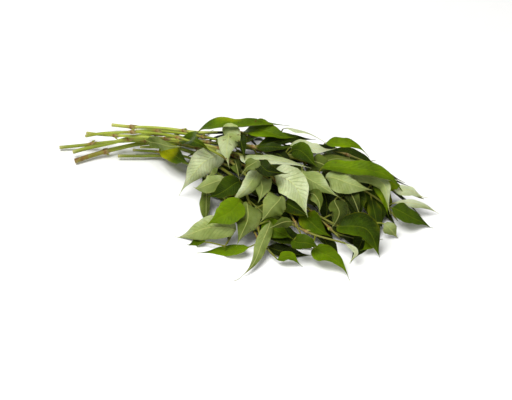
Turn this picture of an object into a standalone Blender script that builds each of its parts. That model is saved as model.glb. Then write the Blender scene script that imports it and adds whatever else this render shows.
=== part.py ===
"""A loose bunch of cut Vietnamese coriander (rau ram) that lies on a flat surface.

Twelve leafy stems lie one over another. Their cut ends are at the left (-X), and their leaves fan out to
the right (+X) and to the front (-Y). Each leafy stem is one solid: a tapered stem with swollen nodes, and its
leaves, whose stalks run into the stem.

The stems' routes and the outer leaves' places are given as they are seen from the front and above, in the
pixels of a view that is 512 wide and 400 high. point_on_ray turns such a pixel and a height above the surface
into a point in metres. The inner leaves follow a rule with seeded draws. A leaf that would cross another leafy
stem is lifted towards the viewer, which leaves its place in that view as it was, until it lies clear.
"""

from dataclasses import dataclass

import bmesh
import bpy
import numpy as np
from mathutils.bvhtree import BVHTree

# The bunch's size, and the view in which its parts are placed (metres, radians, pixels)
BUNCH_LENGTH = 0.300
BUNCH_LENGTH_PIXELS = 379.0
PIXEL = BUNCH_LENGTH / BUNCH_LENGTH_PIXELS
VIEW_CENTRE = np.array((256.0, 200.0))
VIEW_DISTANCE = 1.30
VIEW_ELEVATION = np.radians(40.0)
VIEW_RIGHT = np.array((1.0, 0.0, 0.0))
VIEW_UP = np.array((0.0, np.sin(VIEW_ELEVATION), np.cos(VIEW_ELEVATION)))
VIEW_FORWARD = np.array((0.0, np.cos(VIEW_ELEVATION), -np.sin(VIEW_ELEVATION)))
EYE = -VIEW_DISTANCE * VIEW_FORWARD

# What moves the bunch's box over the origin
BUNCH_SHIFT = np.array((0.00898, -0.00009, 0.0))

# The outer surface of the foliage: its upper and front edges in the view, and its height along the ridge
OUTLINE_ACROSS = (60.0, 150.0, 174.0, 188.0, 200.0, 240.0, 280.0, 320.0, 360.0, 400.0, 440.0)
OUTLINE_TOP = (128.0, 126.0, 127.0, 127.0, 124.0, 119.0, 121.0, 134.0, 146.0, 174.0, 205.0)
OUTLINE_FRONT = (166.0, 160.0, 163.0, 192.0, 252.0, 264.0, 266.0, 268.0, 270.0, 232.0, 214.0)
RIDGE_HEIGHT = (0.003, 0.019, 0.025, 0.028, 0.031, 0.038, 0.043, 0.043, 0.037, 0.025, 0.012)
FRONT_BULGE = 0.8

# Stems
STEM_TIP_RADIUS = 0.0007
STEM_SAMPLES = 160
STEM_HEIGHT_SHARE = 0.50
STEM_CLEARANCE = 0.0014
NODE_SPACING = 0.046
NODE_SWELLING = 1.42
NODE_HALF_LENGTH = 0.0026
BETWEEN_NODES = (0.25, 0.5, 0.75)
LAST_NODE_TO_TIP = 0.012
TAPER = 1.3
DIRECTION_REACH = 0.003
LEAFY_FROM = 0.30
SETTLING_ROUNDS = 80
SETTLING_SPREAD = 30
SETTLING_SHARE = 0.5
SETTLING_STEP = 0.00002

# Leaves
BLADE_THICKNESS = 0.0006
BLADE_CLEARANCE = 0.0005
STALK_HALF_WIDTH = 0.00075
TIP_HALF_WIDTH = 0.00035
OUTLINE_RISE = 0.54
OUTLINE_FALL = 1.22
OUTER_STATIONS = (0.0, 0.16, 0.38, 0.62, 0.84, 1.0)
INNER_STATIONS = (0.0, 0.24, 0.60, 1.0)
BLADE_FOLD = 0.24
UNDERSIDE_FOLD = -0.15
BLADE_WAVE = 0.09
LEAF_TWIST = np.radians(22.0)
TWIST_STEP = 2.4
TWIST_CENTRE = 0.35
HEIGHT_SHARES = (0.82, 1.0, 0.9)
LIFT_SHARES = (0.6, 1.0, 0.8)
LIFTS = (0.0, -0.0015, -0.003, 0.0015, -0.0045, -0.006, 0.003, -0.008, -0.010, 0.005, -0.012, 0.007, -0.015,
         0.010)
LIFTS_OVER_STEMS = (0.0, 0.0015, 0.003, 0.0045, 0.006, 0.008, 0.010, 0.012, 0.015, 0.018)
PARENT_CHOICES = 8
LONGEST_STALK = 0.030
STALK_BACK_SAMPLES = 2

# Inner leaves: the ranges of the seeded draws (degrees, metres, shares of the length) and where they stay
INNER_SEED = 11
INNER_SPACING = 0.014
INNER_TRIES = 50
INNER_ROUNDS = (1, -1, 1, -1)
INNER_TURN = (10.0, 85.0)
INNER_CLIMB = (-35.0, 48.0)
INNER_LENGTH = (0.040, 0.066)
INNER_WIDTH_SHARE = (0.24, 0.33)
INNER_STALK = (0.004, 0.008)
INNER_ROLL = (-60.0, 60.0)
INNER_SAG = (0.10, 0.55)
INNER_FALL = (0.03, 0.97)
INNER_DEPTH = 0.0025
INNER_REACH_PIXEL = 424.0

LEAF_GREEN = (0.105, 0.205, 0.030, 1.0)
LEAF_ROUGHNESS = 0.48


@dataclass(frozen=True)
class StemPlan:
    """A stem's route in the view from cut end to tip, its radius at the cut end and its first node's place."""

    route: tuple
    radius: float
    first_node: float


@dataclass(frozen=True)
class LeafPlan:
    """An outer leaf as the view shows it: three pixels along its midrib, its width and how it faces.

    tilt turns its shown side from straight up towards the viewer, and roll turns it about its midrib, in
    degrees. A lying leaf is flat on the surface, and one over the stems is lifted where it would cross them.
    An underside is arched towards the viewer and an upper side is hollow, and fold_share makes either stronger
    or weaker.
    """

    base: tuple
    middle: tuple
    tip: tuple
    width: float
    tilt: float = 28.0
    roll: float = 0.0
    lying: bool = False
    over_stems: bool = False
    underside: bool = False
    fold_share: float = 1.0


# Laid in this order, so each one passes over those above it in the list where they cross
STEMS = (
    StemPlan(((128, 141), (160, 139), (190, 141), (240, 147), (290, 156), (340, 170),
              (384, 188)), 0.0012, 0.020),
    StemPlan(((131, 137), (153, 134), (200, 141), (260, 149), (310, 160), (352, 173), (390, 186),
              (424, 199)), 0.0013, 0.022),
    StemPlan(((136, 131), (150, 130.5), (170, 132), (220, 140), (270, 151), (318, 167), (358, 187),
              (386, 206), (398, 221)), 0.0012, 0.018),
    StemPlan(((118, 156), (142, 156), (161, 156), (190, 165), (212, 182), (228, 205), (233, 230),
              (224, 248)), 0.0013, 0.040),
    StemPlan(((133, 150), (160, 152), (195, 160), (225, 180), (243, 208), (258, 238),
              (277, 259)), 0.0011, 0.024),
    StemPlan(((75, 161), (93, 155), (119, 148), (150, 143), (185, 150), (218, 166), (243, 187), (250, 204),
              (258, 228), (262, 246)), 0.0019, 0.0255),
    StemPlan(((59.5, 147.5), (85, 145), (111, 142), (150, 141), (200, 149), (245, 166), (285, 190),
              (318, 217), (340, 238)), 0.0014, 0.0265),
    StemPlan(((73, 152), (88, 148), (111, 143), (130, 138.5), (170, 141), (215, 150), (258, 166), (274, 179),
              (300, 203), (330, 222), (362, 235)), 0.0016, 0.047),
    StemPlan(((87, 133), (100, 134.5), (129, 136), (160, 138), (210, 146), (262, 162), (312, 181),
              (350, 205), (376, 225)), 0.0012, 0.030),
    StemPlan(((86, 136), (101, 133.5), (119, 132.5), (135, 132), (175, 137), (225, 158), (262, 192), (284, 219),
              (305, 231), (348, 244)), 0.0012, 0.040),
    StemPlan(((140, 147), (175, 148), (215, 160), (250, 178), (285, 206), (302, 236)), 0.0011, 0.030),
    StemPlan(((112, 125), (133, 127), (150, 127.5), (170, 129), (193, 132), (242, 133), (290, 141),
              (336, 151), (368, 163), (394, 176)), 0.0014, 0.017),
)

# The outer leaves, from the deepest to the nearest
OUTER_LEAVES = (
    # upper edge
    LeafPlan((283, 129), (302, 131), (326, 142), 0.009, 5, 40, underside=True),
    LeafPlan((290, 147), (312, 148), (335, 153), 0.012, 25, underside=True),
    LeafPlan((291, 151), (308, 157), (317, 170), 0.016, 30),
    LeafPlan((326, 143), (346, 144), (371, 153), 0.012, 15),
    LeafPlan((245, 131), (268, 132), (297, 140), 0.016, 15),
    LeafPlan((199, 131), (245, 126), (290, 124.5), 0.016, 8, 10),
    LeafPlan((257, 147), (275, 147), (297, 148), 0.010, 20),
    # right end
    LeafPlan((372, 177), (386, 176), (401, 182), 0.009, 20, -20, underside=True),
    LeafPlan((374, 185), (392, 186), (408, 191), 0.010, 25),
    LeafPlan((395, 191), (412, 191), (427, 200), 0.010, 20, underside=True),
    LeafPlan((395, 203), (420, 204.5), (438.5, 214), 0.009, 30, underside=True),
    LeafPlan((392, 208), (413, 218), (435, 227), 0.016, 25),
    LeafPlan((384, 224), (390, 229), (397, 238), 0.010, 40, underside=True),
    LeafPlan((322, 168), (364, 169), (407, 188), 0.017, 18),
    # left part
    LeafPlan((236, 139), (242, 150), (243, 162), 0.010, 45),
    # middle, inner layer
    LeafPlan((258, 165), (270, 172), (290, 175), 0.013, 30),
    LeafPlan((308, 160), (322, 164), (342, 172), 0.013, 30, underside=True),
    LeafPlan((240, 182), (224, 191), (207, 199), 0.016, 35),
    LeafPlan((262, 176), (262, 189), (258, 204), 0.015, 45, underside=True),
    LeafPlan((322, 192), (327, 210), (322, 232), 0.016, 45),
    LeafPlan((303, 213), (313, 224), (331, 238), 0.015, 40),
    LeafPlan((350, 192), (356, 207), (353, 224), 0.017, 45),
    LeafPlan((335, 200), (339, 213), (331, 228), 0.015, 45, underside=True),
    LeafPlan((286, 203), (297, 209), (310, 219), 0.015, 45),
    LeafPlan((262, 223), (277, 231), (294, 238), 0.014, 35),
    LeafPlan((292, 222), (281, 223), (268, 228), 0.009, 35, underside=True),
    LeafPlan((366, 232), (370, 241), (362, 252), 0.012, 40),
    # right, outer layer
    LeafPlan((331, 215), (345, 220), (359, 219), 0.011, 40, underside=True),
    LeafPlan((338, 226), (366, 229), (382, 255), 0.019, 30, fold_share=1.5),
    LeafPlan((374, 188), (377, 210), (382, 230), 0.021, 50),
    LeafPlan((372, 185), (384, 196), (389, 215), 0.010, 45),
    LeafPlan((347, 176), (384, 184), (391, 214), 0.012, 30, underside=True),
    LeafPlan((326, 178), (348, 183), (371, 190), 0.018, 40, underside=True, fold_share=1.8),
    LeafPlan((302, 170), (317, 184), (339, 200), 0.018, 45, underside=True),
    LeafPlan((310, 194), (318, 200), (321, 214), 0.010, 45, underside=True),
    # left, outer layer
    LeafPlan((226, 180), (210, 184), (191, 191), 0.014, 40, underside=True),
    LeafPlan((256, 162), (248, 167), (239, 174), 0.011, 40, underside=True),
    LeafPlan((234, 160), (237, 169), (238.5, 181), 0.009, 45, underside=True, fold_share=1.8),
    LeafPlan((240.5, 156), (273, 160), (311, 168.5), 0.012, 35, underside=True),
    LeafPlan((214, 167), (211, 173), (205, 180), 0.008, 45, underside=True),
    # front edge
    LeafPlan((205, 242), (197, 243), (187, 246), 0.010, 20),
    LeafPlan((249, 247), (223, 251), (197, 253), 0.014, 10, lying=True),
    LeafPlan((277, 259), (290, 257), (303, 266), 0.010, 15),
    LeafPlan((294, 240), (307, 243), (321, 249), 0.014, 40),
    LeafPlan((346, 244), (356, 253), (348, 263), 0.009, 40, underside=True),
    LeafPlan((314, 248), (329, 255), (352, 280), 0.017, 35, fold_share=2.2),
    LeafPlan((241, 201), (227, 214), (206, 226), 0.021, 45, fold_share=0.7),
    LeafPlan((235, 231), (205, 229), (172.5, 238), 0.017, 40, underside=True),
    LeafPlan((247.5, 203), (247, 222), (236, 246), 0.018, 50, underside=True, fold_share=2.4),
    LeafPlan((269, 221), (260, 250), (237, 283), 0.0085, 50, underside=True),
    LeafPlan((280, 197), (272, 208), (262, 224), 0.019, 55, underside=True),
    # over the stems at the left
    LeafPlan((160, 147), (173, 155), (190, 163), 0.014, 40, over_stems=True),
    LeafPlan((183, 138), (198, 143), (214, 149), 0.015, 35, over_stems=True),
    LeafPlan((146, 140), (165, 144.5), (184, 150), 0.013, 60, -20, over_stems=True, underside=True),
    LeafPlan((217, 150), (201, 165), (175.6, 194.6), 0.020, 50, over_stems=True, underside=True),
    LeafPlan((225, 136), (227, 150), (228, 168), 0.020, 40, over_stems=True, underside=True),
    # middle, outer layer
    LeafPlan((258, 170), (247, 187), (226, 203), 0.013, 45, underside=True, fold_share=1.6),
    LeafPlan((274, 176), (296, 187), (309, 217), 0.031, 55, underside=True),
)


def smooth_curve(points, places):
    """Points on a smooth curve through the given points.

    places run from 0 to 1 by the length of the chords. The curve is a cubic between two points, and its slope
    at a point is the mean of the chords beside it, each weighted by the other's length.
    """
    points = np.asarray(points, dtype=float)
    chords = np.diff(points, axis=0)
    lengths = np.linalg.norm(chords, axis=1)
    knots = np.concatenate(([0.0], np.cumsum(lengths)))
    chord_slopes = chords / lengths[:, None]
    slopes = np.empty_like(points)
    slopes[0] = chord_slopes[0]
    slopes[-1] = chord_slopes[-1]
    before, after = lengths[:-1, None], lengths[1:, None]
    slopes[1:-1] = (chord_slopes[:-1] * after + chord_slopes[1:] * before) / (before + after)
    reach = np.asarray(places, dtype=float) * knots[-1]
    piece = np.clip(np.searchsorted(knots, reach, side="right") - 1, 0, len(lengths) - 1)
    a = ((reach - knots[piece]) / lengths[piece])[:, None]
    span = lengths[piece][:, None]
    start = (2 * a**3 - 3 * a**2 + 1) * points[piece] + (a**3 - 2 * a**2 + a) * span * slopes[piece]
    end = (3 * a**2 - 2 * a**3) * points[piece + 1] + (a**3 - a**2) * span * slopes[piece + 1]
    return start + end


def point_on_ray(pixels, heights):
    """World points where the rays through the view's pixels reach the given heights."""
    offset = (np.asarray(pixels, dtype=float) - VIEW_CENTRE) * PIXEL / VIEW_DISTANCE
    rays = VIEW_FORWARD + offset[:, :1] * VIEW_RIGHT - offset[:, 1:] * VIEW_UP
    reach = (np.asarray(heights) - EYE[2]) / rays[:, 2]
    return EYE + rays * reach[:, None]


def pixel_of(points):
    """The pixels at which the view shows the points."""
    from_eye = points - EYE
    scale = VIEW_DISTANCE / (PIXEL * (from_eye @ VIEW_FORWARD))
    across = VIEW_CENTRE[0] + (from_eye @ VIEW_RIGHT) * scale
    down = VIEW_CENTRE[1] - (from_eye @ VIEW_UP) * scale
    return np.stack((across, down), axis=1)


def fall_of(pixels):
    """0 on the foliage's upper edge in the view and 1 on its front edge."""
    across, down = np.asarray(pixels, dtype=float).T
    top = np.interp(across, OUTLINE_ACROSS, OUTLINE_TOP)
    front = np.interp(across, OUTLINE_ACROSS, OUTLINE_FRONT)
    return (down - top) / (front - top)


def outer_height(pixels):
    """Height of the foliage's outer surface at the pixels: a quarter wave from the ridge to the front."""
    fall = np.clip(fall_of(pixels), 0.0, 1.0)
    across = np.asarray(pixels, dtype=float)[:, 0]
    return np.interp(across, OUTLINE_ACROSS, RIDGE_HEIGHT) * np.cos(0.5 * np.pi * fall) ** FRONT_BULGE


def unit(vectors):
    """The vectors at length 1."""
    return vectors / np.linalg.norm(vectors, axis=-1, keepdims=True)


def spread_peaks(needed):
    """Each sample's need, carried to its neighbours in a straight slope, so that a rise has no step."""
    spread = needed.copy()
    for shift in range(1, SETTLING_SPREAD):
        share = 1.0 - shift / SETTLING_SPREAD
        spread[shift:] = np.maximum(spread[shift:], needed[:-shift] * share)
        spread[:-shift] = np.maximum(spread[:-shift], needed[shift:] * share)
    return spread


class Stem:
    """A stem where it lies: its axis as samples, its radius and the places of its nodes."""

    def __init__(self, plan, laid):
        places = np.linspace(0.0, 1.0, STEM_SAMPLES)
        pixels = smooth_curve(plan.route, places)
        self.radius = plan.radius + (STEM_TIP_RADIUS - plan.radius) * places**TAPER
        self.heights = self.radius * NODE_SWELLING + STEM_HEIGHT_SHARE * outer_height(pixels)
        self.axis = point_on_ray(pixels, self.heights)
        self.settle(pixels, laid)
        steps = np.linalg.norm(np.diff(self.axis, axis=0), axis=1)
        self.along = np.concatenate(([0.0], np.cumsum(steps)))
        self.length = self.along[-1]
        self.nodes = np.arange(plan.first_node, self.length - LAST_NODE_TO_TIP, NODE_SPACING)

    def settle(self, pixels, laid):
        """Lifts the stem along the view's rays until it passes over the stems that already lie there."""
        for _ in range(SETTLING_ROUNDS):
            needed = np.zeros(STEM_SAMPLES)
            for other in laid:
                apart = np.linalg.norm(self.axis[:, None] - other.axis[None], axis=2)
                wanted = self.radius[:, None] + other.radius[None] + STEM_CLEARANCE
                needed = np.maximum(needed, (wanted - apart).max(axis=1))
            if needed.max() <= 0.0:
                return
            rise = SETTLING_SHARE * spread_peaks(np.maximum(needed, 0.0)) + SETTLING_STEP
            self.heights = self.heights + rise
            self.axis = point_on_ray(pixels, self.heights)

    def point(self, reach):
        """The axis point at a length along the stem."""
        return np.array([np.interp(reach, self.along, self.axis[:, k]) for k in range(3)])

    def direction(self, reach):
        """The unit direction towards the tip at a length along the stem."""
        ahead = self.point(min(reach + DIRECTION_REACH, self.length))
        return unit(ahead - self.point(max(reach - DIRECTION_REACH, 0.0)))

    def radius_at(self, reach):
        """The radius at a length along the stem."""
        return np.interp(reach, self.along, self.radius)

    def tube_stations(self):
        """Lengths along the stem for the tube's points: both ends, three at each node and some in between."""
        marks = [0.0, *self.nodes, self.length]
        reaches = [0.0, self.length]
        for start, end in zip(marks[:-1], marks[1:]):
            reaches += [start + (end - start) * share for share in BETWEEN_NODES]
        for node in self.nodes:
            reaches += [node - NODE_HALF_LENGTH, node, node + NODE_HALF_LENGTH]
        return sorted(reaches)

    def swelling(self, reach):
        """How many times thicker the stem is at a point: more than once only in the middle of a node."""
        return NODE_SWELLING if np.abs(self.nodes - reach).min() < 0.5 * NODE_HALF_LENGTH else 1.0


class Blade:
    """A leaf as rows of three points, left edge, midrib and right edge, from the stem's axis to the tip."""

    def __init__(self, stem_point, base, middle, tip, width, facing, roll, stations, fold=BLADE_FOLD,
                 wave=0.0, twist=0.0):
        line = (stem_point, base, middle, tip)
        chords = np.linalg.norm(np.diff(np.asarray(line), axis=0), axis=1)
        stalk_share = chords[0] / chords.sum()
        stations = np.asarray(stations)
        places = np.concatenate(([0.0], stalk_share + (1.0 - stalk_share) * stations))
        midrib = smooth_curve(line, places)
        midrib[:, 2] = np.maximum(midrib[:, 2], 0.5 * BLADE_THICKNESS)
        peak = OUTLINE_RISE / (OUTLINE_RISE + OUTLINE_FALL)
        tallest = peak**OUTLINE_RISE * (1.0 - peak) ** OUTLINE_FALL
        outline = 0.5 * width * stations**OUTLINE_RISE * (1.0 - stations) ** OUTLINE_FALL / tallest
        outline[0] = STALK_HALF_WIDTH
        outline[-1] = TIP_HALF_WIDTH
        half_widths = np.concatenate(([STALK_HALF_WIDTH], outline))[:, None]
        tangents = unit(np.gradient(midrib, axis=0))
        normals = unit(facing - (tangents @ facing)[:, None] * tangents)
        across = np.cross(tangents, normals)
        turn = (roll + twist * (np.concatenate(([0.0], stations)) - TWIST_CENTRE))[:, None]
        turned = across * np.cos(turn) + normals * np.sin(turn)
        normals = np.cross(turned, tangents)
        rise = fold * half_widths
        swing = wave * half_widths * np.cos(np.pi * np.arange(len(midrib)))[:, None]
        left = midrib - turned * half_widths + normals * (rise + swing)
        right = midrib + turned * half_widths + normals * (rise - swing)
        self.rows = np.stack((left, midrib, right), axis=1)
        self.rows[:, :, 2] = np.maximum(self.rows[:, :, 2], 0.5 * BLADE_THICKNESS)
        self.across = turned
        self.normals = normals

    def triangles(self):
        """The sheet's triangles: each square of the rows is split along the same diagonal."""
        faces = []
        for row in range(len(self.rows) - 1):
            for column in range(2):
                corner = 3 * row + column
                faces.append((corner, corner + 1, corner + 4))
                faces.append((corner, corner + 4, corner + 3))
        return faces

    def clearance_shell(self):
        """A closed shell round the blade, larger all over by the clearance, and its triangles."""
        margin = 0.5 * BLADE_THICKNESS + BLADE_CLEARANCE
        wider = self.rows.copy()
        wider[:, 0] -= self.across * BLADE_CLEARANCE
        wider[:, 2] += self.across * BLADE_CLEARANCE
        lift = self.normals[:, None] * margin
        points = np.concatenate(((wider + lift).reshape(-1, 3), (wider - lift).reshape(-1, 3)))
        count = 3 * len(self.rows)
        upper = self.triangles()
        lower = [(a + count, c + count, b + count) for a, b, c in upper]
        walls = []
        for row in range(len(self.rows) - 1):
            for corner in (3 * row, 3 * row + 2):
                walls.append((corner, corner + 3, corner + 3 + count))
                walls.append((corner, corner + 3 + count, corner + count))
        return points, upper + lower + walls


class LeafyStem:
    """A stem with the blades that grow from it, and the search trees of both."""

    def __init__(self, name, stem):
        self.name = name
        self.stem = stem
        self.blades = []
        self.stem_tree = self.tube_tree()
        self.blade_tree = None

    def tube_tree(self):
        """A search tree of the stem as a square tube that holds the round one."""
        points = []
        for sample in range(0, STEM_SAMPLES, 4):
            radius = self.stem.radius[sample] * NODE_SWELLING
            centre = self.stem.axis[sample]
            for side in ((0, 1, 1), (0, -1, 1), (0, -1, -1), (0, 1, -1)):
                points.append(centre + radius * np.array(side))
        faces = []
        for ring in range(len(points) // 4 - 1):
            for corner in range(4):
                a = 4 * ring + corner
                b = 4 * ring + (corner + 1) % 4
                faces.append((a, b, b + 4, a + 4))
        return BVHTree.FromPolygons([tuple(p) for p in points], faces)

    def add(self, blade):
        """Keeps a blade and renews the search tree of all blades."""
        self.blades.append(blade)
        points = []
        faces = []
        for kept in self.blades:
            start = len(points)
            points += [tuple(p) for p in kept.rows.reshape(-1, 3)]
            faces += [tuple(start + corner for corner in face) for face in kept.triangles()]
        self.blade_tree = BVHTree.FromPolygons(points, faces)

    def crosses_blades(self, tree):
        """Whether a search tree meets one of the blades."""
        return self.blade_tree is not None and bool(self.blade_tree.overlap(tree))

    def crosses(self, tree):
        """Whether a search tree meets the stem or one of the blades."""
        return bool(self.stem_tree.overlap(tree)) or self.crosses_blades(tree)


def is_clear(blade, owner, leafy_stems, own_too):
    """Whether a blade lies clear of all other leafy stems, and of its own stem's blades if asked."""
    points, faces = blade.clearance_shell()
    tree = BVHTree.FromPolygons([tuple(p) for p in points], faces)
    if own_too and owner.crosses_blades(tree):
        return False
    return not any(other.crosses(tree) for other in leafy_stems if other is not owner)


def lay_outer_leaf(plan, leafy_stems, number):
    """Finds a stem and a lift at which an outer leaf lies clear, and keeps it there.

    The leaf hangs from the nearest stem that gives it room. It may cross that stem's own leaves only where it
    finds no room clear of them.
    """
    pixels = np.array((plan.base, plan.middle, plan.tip), dtype=float)
    surface = outer_height(pixels)
    shares = np.array(HEIGHT_SHARES)
    facing = np.array((0.0, -np.sin(np.radians(plan.tilt)), np.cos(np.radians(plan.tilt))))
    roll = np.radians(plan.roll)
    wave = BLADE_WAVE * (1 if number % 2 else -1)
    twist = LEAF_TWIST * np.sin(TWIST_STEP * number)
    fold = plan.fold_share * (UNDERSIDE_FOLD if plan.underside else BLADE_FOLD)
    if plan.lying:
        facing = np.array((0.0, 0.0, 1.0))
        wave = twist = fold = 0.0
    for own_too in (True, False):
        for lift in LIFTS_OVER_STEMS if plan.over_stems else LIFTS:
            heights = np.maximum(surface * shares + lift * np.array(LIFT_SHARES), 0.5 * BLADE_THICKNESS)
            if plan.lying:
                heights[1:] = 0.5 * BLADE_THICKNESS
            base, middle, tip = point_on_ray(pixels, heights)
            nearest = []
            for leafy in leafy_stems:
                apart = np.linalg.norm(leafy.stem.axis - base, axis=1)
                sample = int(apart.argmin())
                nearest.append((apart[sample], sample, leafy))
            nearest.sort(key=lambda choice: choice[0])
            for apart, sample, leafy in nearest[:PARENT_CHOICES]:
                if apart > LONGEST_STALK:
                    continue
                start = leafy.stem.axis[max(sample - STALK_BACK_SAMPLES, 0)]
                blade = Blade(start, base, middle, tip, plan.width, facing, roll, OUTER_STATIONS, fold, wave,
                              twist)
                if is_clear(blade, leafy, leafy_stems, own_too):
                    leafy.add(blade)
                    return


def lay_inner_leaf(leafy, reach, side, leafy_stems, rng):
    """Draws an inner leaf from a stem until one lies clear and behind the outer surface."""
    stem = leafy.stem
    start = stem.point(reach)
    forward = stem.direction(reach)
    for _ in range(INNER_TRIES):
        turn = side * np.radians(rng.uniform(*INNER_TURN))
        climb = np.radians(rng.uniform(*INNER_CLIMB))
        length = rng.uniform(*INNER_LENGTH)
        width = length * rng.uniform(*INNER_WIDTH_SHARE)
        stalk = rng.uniform(*INNER_STALK)
        roll = np.radians(rng.uniform(*INNER_ROLL))
        sag = rng.uniform(*INNER_SAG)
        level = unit(np.array((forward[0] * np.cos(turn) - forward[1] * np.sin(turn),
                               forward[0] * np.sin(turn) + forward[1] * np.cos(turn), 0.0)))
        heading = level * np.cos(climb) + np.array((0.0, 0.0, np.sin(climb)))
        base = start + heading * stalk
        middle = base + heading * 0.5 * length
        tip = middle + unit(heading - np.array((0.0, 0.0, 2.0 * sag))) * 0.5 * length
        middle[2] = max(middle[2], 0.5 * BLADE_THICKNESS)
        tip[2] = max(tip[2], 0.5 * BLADE_THICKNESS)
        blade = Blade(start, base, middle, tip, width, np.array((0.0, 0.0, 1.0)), roll, INNER_STATIONS,
                      wave=BLADE_WAVE)
        points = blade.rows[1:].reshape(-1, 3)
        pixels = pixel_of(points)
        fall = fall_of(pixels)
        if fall.min() < INNER_FALL[0] or fall.max() > INNER_FALL[1]:
            continue
        if pixels[:, 0].max() > INNER_REACH_PIXEL:
            continue
        if (points[:, 2] > np.maximum(outer_height(pixels) - INNER_DEPTH, BLADE_THICKNESS)).any():
            continue
        if is_clear(blade, leafy, leafy_stems, True):
            leafy.add(blade)
            return


def lay_inner_leaves(leafy_stems):
    """Goes along every stem, with leaves on alternate sides, wherever one finds room."""
    rng = np.random.default_rng(INNER_SEED)
    for first_side in INNER_ROUNDS:
        for leafy in leafy_stems:
            side = first_side
            for reach in np.arange(LEAFY_FROM * leafy.stem.length, leafy.stem.length, INNER_SPACING):
                lay_inner_leaf(leafy, reach, side, leafy_stems, rng)
                side = -side


def lay_bunch():
    """Lays the stems, then the outer leaves, then the inner ones."""
    stems = []
    for plan in STEMS:
        stems.append(Stem(plan, stems))
    leafy_stems = [LeafyStem(f"leafy_stem_{number:02d}", stem) for number, stem in enumerate(stems, start=1)]
    for number in reversed(range(len(OUTER_LEAVES))):
        lay_outer_leaf(OUTER_LEAVES[number], leafy_stems, number)
    lay_inner_leaves(leafy_stems)
    return leafy_stems


def new_collection(name):
    """A new collection in the scene."""
    collection = bpy.data.collections.new(name)
    bpy.context.scene.collection.children.link(collection)
    return collection


def stem_material(name):
    """The leafy stem's material."""
    material = bpy.data.materials.new(name)
    material.use_nodes = True
    shader = material.node_tree.nodes["Principled BSDF"]
    shader.inputs["Base Color"].default_value = LEAF_GREEN
    shader.inputs["Roughness"].default_value = LEAF_ROUGHNESS
    shader.inputs["Metallic"].default_value = 0.0
    return material


def make_tube(name, stem, collection):
    """The stem as a closed mesh: a bevelled curve along its axis, with welded end caps."""
    reaches = stem.tube_stations()
    curve = bpy.data.curves.new(name + "_axis", "CURVE")
    curve.dimensions = "3D"
    curve.bevel_depth = 1.0
    curve.bevel_resolution = 1
    curve.use_fill_caps = True
    spline = curve.splines.new("POLY")
    spline.points.add(len(reaches) - 1)
    for point, reach in zip(spline.points, reaches):
        point.co = (*(stem.point(reach) + BUNCH_SHIFT), 1.0)
        point.radius = stem.radius_at(reach) * stem.swelling(reach)
    guide = bpy.data.objects.new(name + "_axis", curve)
    collection.objects.link(guide)
    bpy.context.view_layer.update()
    mesh = bpy.data.meshes.new_from_object(guide.evaluated_get(bpy.context.evaluated_depsgraph_get()))
    bpy.data.objects.remove(guide)
    weld_and_turn_out(mesh)
    tube = bpy.data.objects.new(name, mesh)
    collection.objects.link(tube)
    return tube


def weld_and_turn_out(mesh):
    """Welds a mesh's double points and turns its faces outwards."""
    work = bmesh.new()
    work.from_mesh(mesh)
    bmesh.ops.remove_doubles(work, verts=work.verts, dist=1e-6)
    bmesh.ops.recalc_face_normals(work, faces=work.faces)
    work.to_mesh(mesh)
    work.free()


def make_blade(name, blade, collection):
    """A blade as a closed mesh: its sheet with the blade's thickness."""
    mesh = bpy.data.meshes.new(name)
    mesh.from_pydata((blade.rows.reshape(-1, 3) + BUNCH_SHIFT).tolist(), [], blade.triangles())
    sheet = bpy.data.objects.new(name, mesh)
    collection.objects.link(sheet)
    thicken = sheet.modifiers.new("thickness", "SOLIDIFY")
    thicken.thickness = BLADE_THICKNESS
    thicken.offset = 0.0
    bpy.context.view_layer.update()
    solid = bpy.data.meshes.new_from_object(sheet.evaluated_get(bpy.context.evaluated_depsgraph_get()))
    weld_and_turn_out(solid)
    sheet.modifiers.clear()
    sheet.data = solid
    bpy.data.meshes.remove(mesh)
    return sheet


def make_leafy_stem(leafy, collection, blanks):
    """One solid: the stem's tube, joined with its blades."""
    tube = make_tube(leafy.name, leafy.stem, collection)
    pieces = bpy.data.collections.new(leafy.name + "_blades")
    blanks.children.link(pieces)
    for number, blade in enumerate(leafy.blades):
        make_blade(f"{leafy.name}_blade_{number:02d}", blade, pieces)
    union = tube.modifiers.new("blades", "BOOLEAN")
    union.operation = "UNION"
    union.operand_type = "COLLECTION"
    union.collection = pieces
    union.solver = "MANIFOLD"
    bpy.context.view_layer.update()
    joined = bpy.data.meshes.new_from_object(tube.evaluated_get(bpy.context.evaluated_depsgraph_get()))
    tube.modifiers.clear()
    tube.data = joined
    for blank in list(pieces.objects):
        bpy.data.objects.remove(blank)
    bpy.data.collections.remove(pieces)
    joined.materials.clear()
    joined.materials.append(stem_material(leafy.name))
    return tube


def main():
    """Builds the bunch."""
    for item in list(bpy.data.objects):
        bpy.data.objects.remove(item)
    collection = new_collection("vietnamese_coriander")
    blanks = new_collection("blade_blanks")
    for leafy in lay_bunch():
        make_leafy_stem(leafy, collection, blanks)
    bpy.data.collections.remove(blanks)


main()
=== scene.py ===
"""Looks of a loose bunch of cut Vietnamese coriander (rau ram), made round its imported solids.

The solids hold each leafy stem as a tube with flat-sided blades. This script lays the same stems and leaves
by the same rule and replaces every leafy stem with three finer pieces: its leaves, its stem and the papery
sheaths at its nodes. A leaf is a closed loft with a raised midrib, waved margins and a drawn-out tip,
dressed deep green above and pale sage beneath. Sizes are in metres, angles in degrees, and places in the
view are pixels of a picture 512 wide and 400 high.
"""

import logging
from dataclasses import dataclass, field
from enum import Enum

import bpy
import numpy as np
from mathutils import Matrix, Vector
from mathutils.bvhtree import BVHTree


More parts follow.
